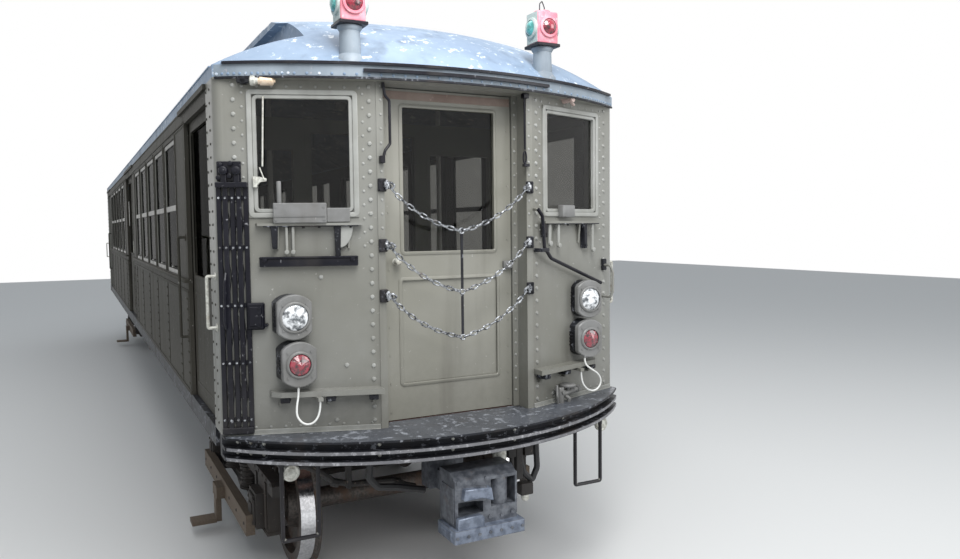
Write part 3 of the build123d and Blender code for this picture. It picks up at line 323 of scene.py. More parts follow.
# dark, light, rust, rust range, roughness, metallic, then depth and grain scale
metals = {
    "chainSteel": ((.05, .053, .06), (.5, .52, .55), (.13, .1, .08), (.56, .72), .34, .8),
    "castSteel": ((.07, .076, .09), (.15, .16, .18), (.15, .1, .07), (.6, .8), .42, .3, .004, 24),
    "contactSteel": ((.1, .12, .16), (.19, .22, .28), (.16, .12, .1), (.6, .8), .4, .3, .003, 24),
    "wheelSteel": ((.05, .044, .04), (.11, .095, .085), (.1, .06, .04), (.45, .7), .5, .4),
    "polished": ((.6, .6, .62), (.8, .8, .82), (.4, .4, .38), (.7, .9), .16, 1.0),
    "brass": ((.55, .38, .24), (.8, .63, .45), (.7, .6, .5), (.4, .7), .35, .4),
    "paleMetal": ((.4, .4, .36), (.62, .62, .57), (.3, .26, .2), (.5, .7), .45, .3),
}
others = {
    # the grey tint of glass is painted shade: it darkens the end windows and door glass towards the dark inside
    # of the car
    "glass": (clearGlass, (.4, .4, .39), 1.3),
    # shadedSideGlass is tinted darker than the end glass: painted shade for the dark inside seen through the
    # side windows
    "shadedSideGlass": (clearGlass, (.2, .2, .19), 1.01),
    "clearLens": (lensGlass, (.08, .09, .1), (.86, .88, .9)),
    "redLens": (lensGlass, (.03, .002, .006), (.3, .008, .03)),
    "tealLens": (lensGlass, (.02, .2, .19), (.08, .42, .4)),
    "wood": (weathered, (.06, .045, .032), (.17, .13, .095), .75),
    "cable": (weathered, (.66, .66, .63), (.8, .8, .78), .45),
    "rubber": (weathered, (.012, .012, .013), (.03, .03, .032), .6),
    "rattan": (rattanWeave, (.2, .13, .05), (.62, .46, .22), (.36, .24, .1)),
}
finishes = {name: wornPaint(name, *row, **more) for name, (*row, more) in paints.items()}
finishes.update({name: bareMetal(name, *row) for name, row in metals.items()})
finishes.update({name: make(name, *row) for name, (make, *row) in others.items()})
print("finishes made:", len(finishes))

slotFinish = {
    "body_paint": "bodyPaint", "roof_paint": "roofPaint", "frame_black": "framePaint",
    "floor_covering": "floorPaint", "glass": "glass", "lamp_paint": "lampPaint", "gate_black": "gatePaint",
    "chain_steel": "chainSteel", "cast_steel": "castSteel", "seat_rattan": "rattan", "pole_enamel": "enamel",
    "interior_paint": "interiorPaint", "cable_white": "cable", "truck_steel": "truckPaint",
    "beam_wood": "wood", "wheel_steel": "wheelSteel",
}
# side walls and headers take the darkened side paint, side windows the darker side glass: painted shade
nodeFinish = {"side_wall_left": "shadedSidePaint", "side_wall_right": "shadedSidePaint", "headers": "shadedSidePaint",
              "side_windows_left": "shadedSideGlass", "side_windows_right": "shadedSideGlass"}
for part in frame["record"]["subparts"]:
    node = frame["nodes"][part["node"]]
    node.data.materials.clear()
    node.data.materials.append(finishes[nodeFinish.get(part["node"], slotFinish[part["material_slot"]])])
print("nodes painted")


def spread(start, end, pitch):
    # even steps from start to end, no wider than pitch
    count = max(1, math.ceil(abs(end - start) / pitch))
    return [start + (end - start) * step / count for step in range(count + 1)]


def oval(x, y, z, wide, tall, pitch):
    # points of an upright oval about a point
    return [(x + wide * math.cos(turn), y, z + tall * math.sin(turn))
            for turn in spread(0, 2 * math.pi, pitch)[:-1]]


def pushOut(part, depth):
    # gives flat faces thickness along y
    made = bmesh.ops.extrude_face_region(part, geom=part.faces[:])["geom"]
    verts = [item for item in made if isinstance(item, bmesh.types.BMVert)]
    bmesh.ops.translate(part, vec=(0, depth, 0), verts=verts)


def soften(part, edges, offset=0, steps=1):
    if offset:
        bmesh.ops.bevel(part, geom=edges, offset=offset, segments=steps, profile=.5, affect="EDGES",
                        material=-1)


def roundedLoop(part, width, height, corner, y):
    # points of a rectangle with round corners, about the middle, at one depth
    steps = 4
    return [part.verts.new((acrossX * (width / 2 - corner) + corner * math.cos(turn), y,
                            acrossZ * (height / 2 - corner) + corner * math.sin(turn)))
            for quarter, (acrossX, acrossZ) in enumerate(((1, 1), (-1, 1), (-1, -1), (1, -1)))
            for turn in (math.pi / 2 * (quarter + step / steps) for step in range(steps + 1))]


class Shape:
    # closed parts gathered for one piece; with an end's name they are built for the front and turned there
    def __init__(self, end="", tail=""):
        self.mesh = bmesh.new()
        self.place = ends.get(end, Matrix())
        self.ending = (end and "_" + end) + tail

    def stamp(self, part, places):
        # the same closed part at many places
        mesh = bpy.data.meshes.new("stamp")
        part.to_mesh(mesh)
        part.free()
        for place in places:
            copy = mesh.copy()
            copy.transform(self.place @ place)
            self.mesh.from_mesh(copy)
            bpy.data.meshes.remove(copy)
        bpy.data.meshes.remove(mesh)

    def join(self, part, place=Matrix()):
        # one closed part, its faces turned outward
        bmesh.ops.remove_doubles(part, verts=part.verts, dist=1e-5)
        bmesh.ops.recalc_face_normals(part, faces=part.faces)
        if part.calc_volume(signed=True) < 0:
            bmesh.ops.reverse_faces(part, faces=part.faces)
        self.stamp(part, [place])

    def boxes(self, place, *rows):
        # rows of two corners' x, y, z, then bevel and its steps
        for x0, y0, z0, x1, y1, z1, *edge in rows:
            first, last = (x0, y0, z0), (x1, y1, z1)
            low = Vector(map(min, first, last))
            size = Vector(map(max, first, last)) - low
            part = bmesh.new()
            bmesh.ops.create_cube(part, size=1, matrix=at(*(low + size / 2)) @ Matrix.Diagonal((*size, 1)))
            soften(part, part.edges[:], *edge)
            self.join(part, place)

    def rounds(self, place, *rows):
        # rows of both ends' x, y, z and the radius, then the number of sides and bevel
        for x0, y0, z0, x1, y1, z1, radius, *more in rows:
            start, end = Vector((x0, y0, z0)), Vector((x1, y1, z1))
            stand = at(*((start + end) / 2)) @ (end - start).to_track_quat("Z", "Y").to_matrix().to_4x4()
            part = bmesh.new()
            bmesh.ops.create_cone(part, cap_ends=True, segments=more[0] if more else 16, radius1=radius,
                                  radius2=radius, depth=(end - start).length, matrix=stand)
            rims = [edge for edge in part.edges if any(len(face.verts) > 4 for face in edge.link_faces)]
            soften(part, rims, *more[1:], steps=2)
            self.join(part, place)

    def turned(self, place, profile, steps=24):
        # profile of (radius, height), turned about z
        part = bmesh.new()
        points = [part.verts.new((radius, 0, height)) for radius, height in profile]
        lines = [part.edges.new(pair) for pair in zip(points, points[1:])]
        bmesh.ops.spin(part, geom=points + lines, cent=(0, 0, 0), axis=(0, 0, 1), angle=2 * math.pi,
                       steps=steps, use_merge=True)
        self.join(part, place)

    def hoop(self, place, inner, outer, low, high, steps):
        # square-edged ring about z
        self.turned(place, ((inner, low), (outer, low), (outer, high), (inner, high), (inner, low)), steps)

    def prism(self, place, outline, depth, bevel=0.0):
        # outline of (x, z), pushed along y
        part = bmesh.new()
        part.faces.new([part.verts.new((x, 0, z)) for x, z in outline])
        pushOut(part, depth)
        soften(part, part.edges[:], bevel)
        self.join(part, place)

    def moulding(self, place, width, height, corner, section):
        # ring about a clear width and height: section of (outward, y) points, joined up all round
        part = bmesh.new()
        loops = [roundedLoop(part, width + 2 * out, height + 2 * out, corner + out, y) for out, y in section]
        for near, far in zip(loops, loops[1:] + loops[:1]):
            for row in zip(near, near[1:] + near[:1], far[1:] + far[:1], far):
                part.faces.new(row)
        self.join(part, place)

    def panel(self, place, columns, rows, holes, depth):
        # plate with window holes: cells of a grid of x and z lines, pushed along y
        part = bmesh.new()
        grid = [[part.verts.new((x, 0, z)) for x in columns] for z in rows]
        for row, (under, over) in enumerate(zip(grid, grid[1:])):
            for column in range(len(columns) - 1):
                if (column, row) not in holes:
                    part.faces.new((under[column], under[column + 1], over[column + 1], over[column]))
        pushOut(part, depth)
        self.join(part, place)

    def rod(self, place, points, radius, bend=0.0, closed=False, ring=2):
        # round rod through a few points, with soft bends
        spots = [Vector(point) for point in points]
        route = [spots[0]]
        for before, corner, after in zip(spots, spots[1:], spots[2:]):
            near, far = ((spot - corner).normalized() * bend + corner for spot in (before, after))
            route += [near, corner, far] if bend else [corner]
        line = newLine("rod", radius, ring, 3)
        curved = bend or closed
        fillLine(line, "NURBS" if curved else "POLY", route + [spots[-1]], closed)
        holder = bpy.data.objects.new("rod", line)
        mesh = bpy.data.meshes.new_from_object(holder)
        part = bmesh.new()
        part.from_mesh(mesh)
        bpy.data.objects.remove(holder)
        bpy.data.curves.remove(line)
        bpy.data.meshes.remove(mesh)
        self.join(part, place)

    def rivets(self, spots, radius, proud=.6, around=8):
        part = bmesh.new()
        bmesh.ops.create_uvsphere(part, u_segments=around, v_segments=4, radius=radius)
        bmesh.ops.scale(part, vec=(1, 1, proud), verts=part.verts)
        self.stamp(part, [spot @ facing for spot in spots])

    def done(self, name, finish, slot, body="car_body", replaced=(), crease=35):
        mesh = bpy.data.meshes.new(name + self.ending)
        self.mesh.to_mesh(mesh)
        self.mesh.free()
        mesh.shade_smooth()
        mesh.set_sharp_from_angle(angle=math.radians(crease))
        mesh.materials.append(finishes[finish])
        piece = addObject(name + self.ending, mesh)
        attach(piece, body)
        if replaced:
            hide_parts(*replaced)
        return piece


def newLine(name, radius, ring, steps):
    line = bpy.data.curves.new(name, "CURVE")
    line.dimensions = "3D"
    line.bevel_depth = radius
    line.bevel_resolution = ring
    line.resolution_u = steps
    line.use_fill_caps = True
    return line


def fillLine(line, kind, route, closed=False):
    spline = line.splines.new(kind)
    spline.points.add(len(route) - 1)
    for point, spot in zip(spline.points, route):
        point.co = (*spot, 1)
    if kind == "NURBS":
        spline.order_u = 3
        spline.use_endpoint_u = not closed
        spline.use_cyclic_u = closed


# cables of the front end: the same route points as the solids', in metres
cables = {
    "diameter": .012,
    "routes": (
        ("left", -1, .399, ((.975, .282, .112), (.975, .236, .112), (.990, .180, .128), (.994, .120, .140),
                            (.955, .074, .142), (.903, .082, .138), (.867, .140, .120), (.867, .200, .120))),
        ("right", 1, .544, ((.930, .282, .112), (.930, .240, .112), (.975, .205, .135), (1.050, .160, .150),
                            (1.075, .095, .150), (1.020, .050, .142), (.940, .066, .134), (.885, .130, .120),
                            (.885, .200, .120))),
    ),
}


def panelRoute(side, route):
    # route of (x, height over the floor, distance out) on a front end panel
    return [onPanel(side * x, car["floorTop"] + z, out) for x, z, out in route]


def addCables():
    for name, side, length, route in cables["routes"]:
        spots = panelRoute(side, route)
        line = newLine("cable_" + name + "_line", cables["diameter"] / 2, 3, 12)
        fillLine(line, "NURBS", spots)
        line.materials.append(finishes["cable"])
        piece = addObject("cord_" + name, line)
        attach(piece, "car_body")
        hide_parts("cable_" + name)


addCables()
print("cables hung")

# rivets of an end: rows of x, low and high z, and of z, near and far x and pitch
endRivets = {
    "bold": .0135,
    "small": .0085,
    "pitch": .0805,
    "columns": ((1.246, 1.20, 3.09), (.548, 1.20, 3.09)),
    "faintColumns": ((1.203, 2.2, 3.05), (.583, 2.2, 3.05), (.486, 2.3, 3.1)),
    "rows": ((3.086, .60, 1.20, .083), (1.187, .56, 1.25, .085)),
    "jamb": (.451, 1.25, 3.08, .0765),
    "loose": ((-.818, 2.028), (-.691, 1.523), (-.62, 1.36), (-.75, 1.21), (.70, 1.21)),
    "cornice": (.009, 3.146, .95, 1.325, .068, .034),
}


def addEndRivets(end):
    bold, small = [], []
    pitch = endRivets["pitch"]
    for side in (-1, 1):
        for x, low, high in endRivets["columns"]:
            bold += [panelPlace(side * x, z) for z in spread(low, high, pitch)]
        for x, low, high in endRivets["faintColumns"]:
            small += [at(side * x, postFace, z) if x < car["postX"] else panelPlace(side * x, z)
                      for z in spread(low, high, pitch)]
        for z, near, far, step in endRivets["rows"]:
            small += [panelPlace(side * x, z) for x in spread(near, far, step)]
        x, *run = endRivets["jamb"]
        small += [at(side * x, postFace + car["jambDepth"], z) for z in spread(*run)]
    bold += [panelPlace(x, z) for x, z in endRivets["loose"]]
    shape = Shape(end)
    shape.rivets(bold, endRivets["bold"], .7)
    shape.rivets(small, endRivets["small"])
    # the end rivets take the lighter trim paint: painted highlight, partly worn paint
    shape.done("end_rivets", "litTrimPaint", "body_paint")

    # along the cornice, closer together by the corners
    radius = car["roofEndRadius"]
    head, z, inner, outer, wide, close = endRivets["cornice"]
    inner, outer = math.asin(inner / radius), math.asin(outer / radius)
    turns = spread(-outer, -inner, close / radius) + spread(-inner, inner, wide / radius)[1:-1]
    turns += spread(inner, outer, close / radius)
    shape = Shape(end)
    shape.rivets([arcPlace(turn, radius, car["roofEndCentre"], z) for turn in turns], head)
    shape.done("cornice_rivets", "roofPaint", "roof_paint")


# worn tread plate over the end platform, and the angle along the panels' foot
platform = {"plate": .0018, "sunk": .0002, "inset": .004, "footX": .915, "footHalf": .4}


def addPlatform(end):
    radius, low, reach = car["climberRadius"] - platform["inset"], car["floorTop"], car["climberReach"]
    turns = spread(-math.asin(reach / radius), math.asin(reach / radius), .05)
    outline = [(radius * math.sin(turn), car["climberCentre"] + radius * math.cos(turn)) for turn in turns]
    back = [(reach, panelY(reach) + .001), (.514, panelY(.514) + .001), (.514, .001 - postFace),
            (.471, .001 - postFace), (.42, .014 - doorFace)]
    shape = Shape(end)
    shape.prism(at(0, 0, low - platform["sunk"]) @ facing,
                outline + back + [(-x, y) for x, y in reversed(back)],
                platform["plate"])
    shape.done("platform_plate", "platformPaint", "frame_black")
    shape = Shape(end)
    half = platform["footHalf"] / math.cos(car["panelAngle"])
    for side in (-1, 1):
        shape.boxes(panelPlace(side * platform["footX"], low), (-half, -.009, .001, half, 0, .03, .003),
                    (-half, -.02, .001, half, 0, .007, .002))
    # the foot angles take the lighter trim paint: painted highlight, partly worn paint
    shape.done("foot_angles", "litTrimPaint", "body_paint")


# gutters, lips and worn ribs that follow the round end
arcStrips = (
    # name, radius, centre, half reach, low, high, deep, finish, slot
    ("roof_gutter", 2.430, 5.126, 1.302, 3.197, 3.212, .022, "gatePaint", "gate_black"),
    ("door_gutter", 2.436, 5.126, .603, 3.157, 3.175, .024, "gatePaint", "gate_black"),
    ("cornice_band", 2.4148, 5.126, 1.338, 3.134, 3.197, .012, "corniceBand", "roof_paint"),
    ("cornice_lip", 2.4215, 5.126, 1.338, 3.1205, 3.1315, .016, "framePaint", "frame_black"),
    ("climber_rib_low", 1.8104, 5.9703, 1.338, 1.0195, 1.0365, .004, "wornEdge", "frame_black"),
    ("climber_rib_middle", 1.8104, 5.9703, 1.338, 1.0745, 1.0915, .004, "wornEdge", "frame_black"),
)


def addArcStrips(end):
    for name, radius, centre, reach, low, high, deep, finish, slot in arcStrips:
        start = math.asin(reach / radius)
        part = bmesh.new()
        face = part.faces.new([part.verts.new((0, -y, z)) for y, z in
                               ((radius - deep, low), (radius, low), (radius, high), (radius - deep, high))])
        bmesh.ops.rotate(part, cent=(0, 0, 0), matrix=Matrix.Rotation(-start, 3, "Z"), verts=part.verts)
        bmesh.ops.spin(part, geom=[face], cent=(0, 0, 0), axis=(0, 0, 1), angle=2 * start, steps=40,
                       use_duplicate=False)
        shape = Shape(end)
        shape.join(part, at(0, -centre, 0))
        shape.done(name, finish, slot)


# windows of an end: raised frame, sash, and the boxes and irons of the ledge below
endWindow = {
    "middle": .894,
    "low": 2.390,
    "high": 3.042,
    "wide": .55,
    "frame": ((-.001, -.009), (.003, -.0105), (.0235, -.0105), (.027, -.008), (.027, .004), (-.001, .004)),
    "sash": ((-.023, .0355), (-.023, -.001), (-.020, -.004), (-.004, -.004), (-.0015, -.001),
             (-.0015, .0355)),
    "ledgeLow": 2.318,
    "bars": ((-.988, 2.162, .007), (-.955, 2.162, .007), (.638, 2.18, .012), (.725, 2.166, .01),
             (1.08, 2.129, .011)),
    "straps": ((-1.05, 2.19), (-.725, 2.135), (.60, 2.23), (1.0, 2.15)),
    "ledges": ((-.87, -.25, .27), (.874, -.28, .28)),
}


def addEndWindows(end):
    low, high, top = endWindow["low"], endWindow["high"], endWindow["ledgeLow"]
    shape = Shape(end)
    for side in (-1, 1):
        place = panelPlace(side * endWindow["middle"], (high + low) / 2)
        shape.moulding(place, endWindow["wide"], high - low, .003, endWindow["frame"])
        shape.moulding(place, endWindow["wide"], high - low, .034, endWindow["sash"])
    # the window frames take the lighter trim paint: painted highlight, partly worn paint
    shape.done("window_frames", "litTrimPaint", "body_paint")

    shape = Shape(end)
    left = panelPlace(-.915, 2.332)
    shape.boxes(left, (-.144, -.062, 0, .144, -.004, .111, .004), (-.138, -.066, .035, .138, -.062, .04),
                (.144, -.045, .003, .272, -.004, .083, .004))
    shape.rounds(left, (-.113, -.03, .10, -.113, -.03, .232, .013, 16, .003),
                 *((x, -.06, z, x, -.066, z, .007, 8) for x in (-.13, .13) for z in (.02, .09)))
    shape.boxes(panelPlace(.8125, 2.359), (-.065, -.05, 0, .065, -.004, .077, .006, 2))
    shape.done("ledge_boxes", "lampPaint", "lamp_paint")

    # irons under the ledges: bars, a gusset and dark straps
    shape = Shape(end)
    for x, low, half in endWindow["bars"]:
        bar = panelPlace(x, low)
        shape.boxes(bar, (-half, -.038, 0, half, -.024, top - low, .003), (-half, -.026, .11, half, 0, .13))
        shape.rounds(bar, (0, -.03, .01, 0, -.048, .01, half + .006, 10, .003))
    # the ledge bars take the lighter trim paint: painted highlight, partly worn paint
    shape.done("ledge_bars", "litTrimPaint", "body_paint")
    shape = Shape(end)
    arch = [(.075 * math.sin(turn), -.125 * math.cos(turn)) for turn in spread(0, math.pi / 2, .26)]
    shape.prism(panelPlace(-.715, top - .0015), [(0, 0)] + arch, -.03, .003)
    # the gusset takes the lighter trim paint: painted highlight, partly worn paint
    shape.done("ledge_gusset", "litTrimPaint", "body_paint")
    shape = Shape(end)
    for x, low in endWindow["straps"]:
        strap = panelPlace(x, low)
        shape.prism(strap, ((-.012, 0), (.014, 0), (.02, top - low), (-.02, top - low)), -.04, .003)
        shape.rounds(strap, (0, 0, .02, 0, -.046, .02, .009, 8))
    for x, near, far in endWindow["ledges"]:
        ledge = panelPlace(x, top - .0025)
        shape.boxes(ledge, (near, -.0465, -.004, far, -.001, .0035, .002))
        spots = [near + (far - near) * (step + .5) / 6 for step in range(6)]
        shape.rounds(ledge, *((spot, -.025, -.012, spot, -.025, 0, .009, 6) for spot in spots))
    shape.done("ledge_irons", "framePaint", "frame_black")

    shape = Shape(end)
    shape.rod(Matrix(), (onPanel(-1.097, 3.029, .016), onPanel(-1.111, 2.645, .028)), .005)
    shape.rod(Matrix(), (onPanel(-1.124, 2.64, .018), onPanel(-1.103, 2.571, .03)), .004)
    bracket = panelPlace(-1.143, 2.53)
    shape.boxes(bracket, (-.012, -.03, 0, .012, 0, .06, .003))
    shape.prism(bracket, ((0, 0), (.03, .03), (.062, .034), (.062, .05), (.02, .06), (0, .055)), -.026, .002)
    shape.done("wiper", "paleMetal", "cast_steel")


# black bar under the left window, hooks by the door, whistle over the left window
endRods = {
    "bar": (-1.130, -.620, 2.118, .056),
    "leftHook": ((-.476, 3.115), (-.466, 3.045), (-.439, 3.015), (-.439, 2.775), (-.470, 2.735),
                 (-.480, 2.695)),
    "rightHook": ((.446, 3.118), (.447, 2.775)),
    "turnbuckle": (.447, 2.725),
    "lugs": (-1.012, -.776, -.55, .56, .76, 1.02),
    "lugZ": 1.366,
}


def addEndRods(end):
    whole = Matrix()
    shape = Shape(end)
    first, last, z, tall = endRods["bar"]
    half, tall = (last - first) / 2 / math.cos(car["panelAngle"]), tall / 2 + .001
    middle = panelPlace((first + last) / 2, z)
    shape.boxes(middle, (-half - .001, -.036, -tall, half + .001, -.019, tall, .006, 2),
                (-half, -.046, tall - .013, half, -.02, tall, .004))
    shape.rounds(middle, *((x, 0, .012, x, -.046, .012, .013, 16, .003) for x in (.03 - half, half - .03)))
    doorway = postFace - .02
    shape.rod(whole, [(x, doorway, z) for x, z in endRods["leftHook"]], .0085, bend=.015)
    shape.rod(whole, [(x, doorway, z) for x, z in endRods["rightHook"]], .006)
    for x, z in (endRods["leftHook"][0], endRods["rightHook"][0]):
        side = math.copysign(1, x)
        shape.boxes(whole, (side * .476, postFace + .01, z - .03, x - side * .008, postFace - .03, z, .003))
    x, z = endRods["leftHook"][-1]
    shape.boxes(whole, (x - .02, postFace + .004, z - .03, x + .008, postFace - .03, z + .012, .003))
    x, z = endRods["turnbuckle"]
    shape.rod(whole, oval(x, doorway, z, .011, .04, .8), .0055, closed=True)
    shape.boxes(whole, (x - .006, doorway - .006, z - .055, .48, postFace + .004, z - .038, .002))
    shape.done("end_rods", "gatePaint", "gate_black")

    # foot of the bent rod, and blocks under the step and at its ends
    shape = Shape(end)
    shape.boxes(panelPlace(.582, 2.151), (-.06, -.068, -.012, .016, -.042, .012, .004),
                (-.066, -.055, -.012, -.044, 0, .012, .004))
    for x in endRods["lugs"]:
        lug = panelPlace(x, endRods["lugZ"])
        shape.boxes(lug, (-.026, -.084, -.032, .026, -.006, 0, .004))
        shape.rounds(lug, (0, -.084, -.016, 0, -.09, -.016, .009, 6))
    shape.boxes(at(0, -panelY(1.24), 0), (1.22, -.03, 1.99, 1.255, .02, 2.07, .006))
    shape.done("foot_blocks", "framePaint", "frame_black")

    horn = panelPlace(-1.082, 3.107)
    along = horn @ at(0, -.045, 0) @ about(90, "Y")
    shape = Shape(end)
    shape.turned(along, ((0, -.03), (.019, -.03), (.019, -.022), (.025, -.02), (.025, .045), (.019, .052),
                         (.009, .056), (.009, .062), (0, .062)))
    shape.done("whistle_bell", "brass", "cast_steel")
    shape = Shape(end)
    shape.turned(along, ((0, -.075), (.02, -.075), (.027, -.07), (.027, -.048), (.02, -.042), (.02, -.03),
                         (0, -.03)))
    shape.done("whistle_cap", "paleMetal", "cast_steel")
    shape = Shape(end)
    shape.boxes(horn, (-.145, -.05, -.013, -.075, -.02, .013, .004),
                (-.13, -.05, -.016, -.095, 0, .016, .004),
                (-.02, -.03, -.012, .02, 0, .012, .003))
    shape.done("whistle_mount", "framePaint", "frame_black")
    shape = Shape(end)
    pink = panelPlace(.82, 3.118)
    shape.turned(pink @ facing,
                 ((0, 0), (.022, 0), (.022, .03), (.014, .045), (.014, .06), (.024, .066), (.02, .08),
                                 (0, .083)))
    shape.rounds(pink, (0, -.045, 0, .045, -.05, -.032, .011))
    shape.boxes(pink, (-.04, -.02, 0, .04, .004, .03, .004))
    shape.done("roof_fitting", "pinkFitting", "roof_paint")


# headlamp over tail lamp: lens centre x and height, housing reach, lens radius, glass, its crown, steps, crease
endLamps = {
    "rows": (("head", .985, 1.814, .118, .072, "clearLens", ((.8, .014), (.45, .021), (0, .024)), 32, 35),
             ("tail", .970, 1.554, .136, .060, "redLens", ((.93, .008), (0, .03)), 14, 4)),
    "rim": ((.002, -.01), (.016, -.01), (.016, .006), (.009, .012), (.002, .012), (.002, -.01)),
    "halfWidth": .096,
    "radius": .126,
    "roundness": 10,
}


def housingOutline(size):
    # circle cut by upright sides
    side, radius = endLamps["halfWidth"], endLamps["radius"]
    start = math.acos(side / radius)
    arc = spread(start, math.pi - start, (math.pi - 2 * start) / endLamps["roundness"])
    return [(size * radius * math.cos(turn), size * radius * math.sin(turn))
            for turn in arc + [turn + math.pi for turn in arc]]


def addEndLamps(end):
    housings, shadedBacks = Shape(end), Shape(end)
    for side in (-1, 1):
        for name, x, z, reach, radius, glass, crown, steps, crease in endLamps["rows"]:
            place = at(side * x, -panelY(x) - reach, z)
            face = place @ facing
            housings.prism(place, housingOutline(1), .045, .006)
            # the housing's body behind the bezel is near black: painted shade along its sides
            shadedBacks.prism(place @ at(0, .04, 0), housingOutline(.985), reach - .02)
            housings.turned(face, [(radius + out, rise) for out, rise in endLamps["rim"]], 32)
            for turn in (math.radians(45 + 90 * step) for step in range(4)):
                housings.rounds(face @ at(.092 * math.cos(turn), .098 * math.sin(turn), 0),
                                (0, 0, -.004, 0, 0, .005, .006, 8))
            shadedBacks.boxes(place, *((-.1, .06, .022 * step - .05, -.094, .11, .022 * step - .04, .001)
                                 for step in range(5)))
            lens = Shape(end, "_" + sideNames[side])
            lens.turned(face, ((0, -.004), (radius, -.004), (radius, .004),
                               *((radius * share, rise) for share, rise in crown)), steps)
            lens.done(name + "_lens", glass, "lamp_paint", crease=crease)
    if end == "front":
        for name, side, length, route in cables["routes"]:
            gland = panelRoute(side, route)[0]
            housings.rounds(at(*gland), (0, 0, 0, 0, 0, .02, .011, 16, .002))
    housings.done("lamp_housings", "lampPaint", "lamp_paint", replaced=["end_lamps_" + end])
    # the housings' bodies take the near-black frame paint: painted shade
    shadedBacks.done("lamp_shaded_backs", "framePaint", "lamp_paint")


# marker lamps over the hood
marker = {"x": .634, "y": -7.352, "postLow": 3.22, "low": 3.426, "high": 3.641, "half": .073, "lens": .05}


def addMarkers(end):
    posts, boxes, glareCheeks, plates, reds, teals = (Shape(end) for count in range(6))
    foot, low, high, lens = (marker[key] for key in ("postLow", "low", "high", "lens"))
    box, lip = marker["half"] + .0005, marker["half"] + .01
    for side in (-1, 1):
        place = at(side * marker["x"], marker["y"], 0)
        posts.turned(place, ((0, foot - .02), (.087, foot - .02), (.084, foot + .02), (.061, foot + .05),
                             (.0575, low - .03), (.07, low - .012), (.07, low - .002), (0, low - .002)), 28)
        boxes.boxes(place, (-box, -box, low + .015, box, box, high, .012, 3))
        plates.boxes(place, (-lip, -lip, low - .001, lip, lip, low + .018, .003))
        boxes.turned(place, ((0, high - .01), (.057, high - .01), (.052, high + .012), (.03, high + .019),
                             (0, high + .019)), 20)
        bail = ((-.05, .004), (-.048, .05), (0, .078), (.048, .05), (.05, .004))
        plates.rod(place @ about(40, "Z"), [(reach, 0, high + rise) for reach, rise in bail], .0035,
                   bend=.015)
        middle = place @ at(0, 0, (low + high) / 2 + .01)
        for turn, shape, rim in ((0, reds, boxes), (-side * 90, teals, glareCheeks), (side * 90, teals, glareCheeks),
                                 (180, reds, boxes)):
            face = middle @ about(turn, "Z") @ at(0, -marker["half"], 0) @ facing
            rim.turned(face, ((lens, -.01), (lens + .016, -.01), (lens + .014, .014), (lens, .018),
                              (lens, -.01)), 28)
            if shape is teals:
                # pale plate on the side face: painted glare
                glareCheeks.boxes(face, (-.062, -.094, -.001, .062, .094, .0022, .001))
            shape.turned(face,
                         ((0, -.004), (lens, -.004), (lens, .012), (lens * .75, .026), (lens * .4, .034),
                                (0, .037)), 28)
    posts.done("marker_posts", "corniceBand", "lamp_paint")
    glareCheeks.done("marker_glare_cheeks", "markerSideGlare", "lamp_paint")
    boxes.done("marker_boxes", "markerPaint", "lamp_paint", replaced=["marker_lamps"] if end == "front"
               else ())
    plates.done("marker_plates", "gatePaint", "gate_black")
    reds.done("marker_red_lenses", "redLens", "lamp_paint")
    teals.done("marker_teal_lenses", "tealLens", "lamp_paint")


# folded lattice gate on the left corner, with its latch
gate = {"first": 1.192, "pitch": .034, "bars": 5, "low": 1.18, "high": 2.534,
        "rows": (1.24, 1.56, 1.88, 2.2, 2.474)}


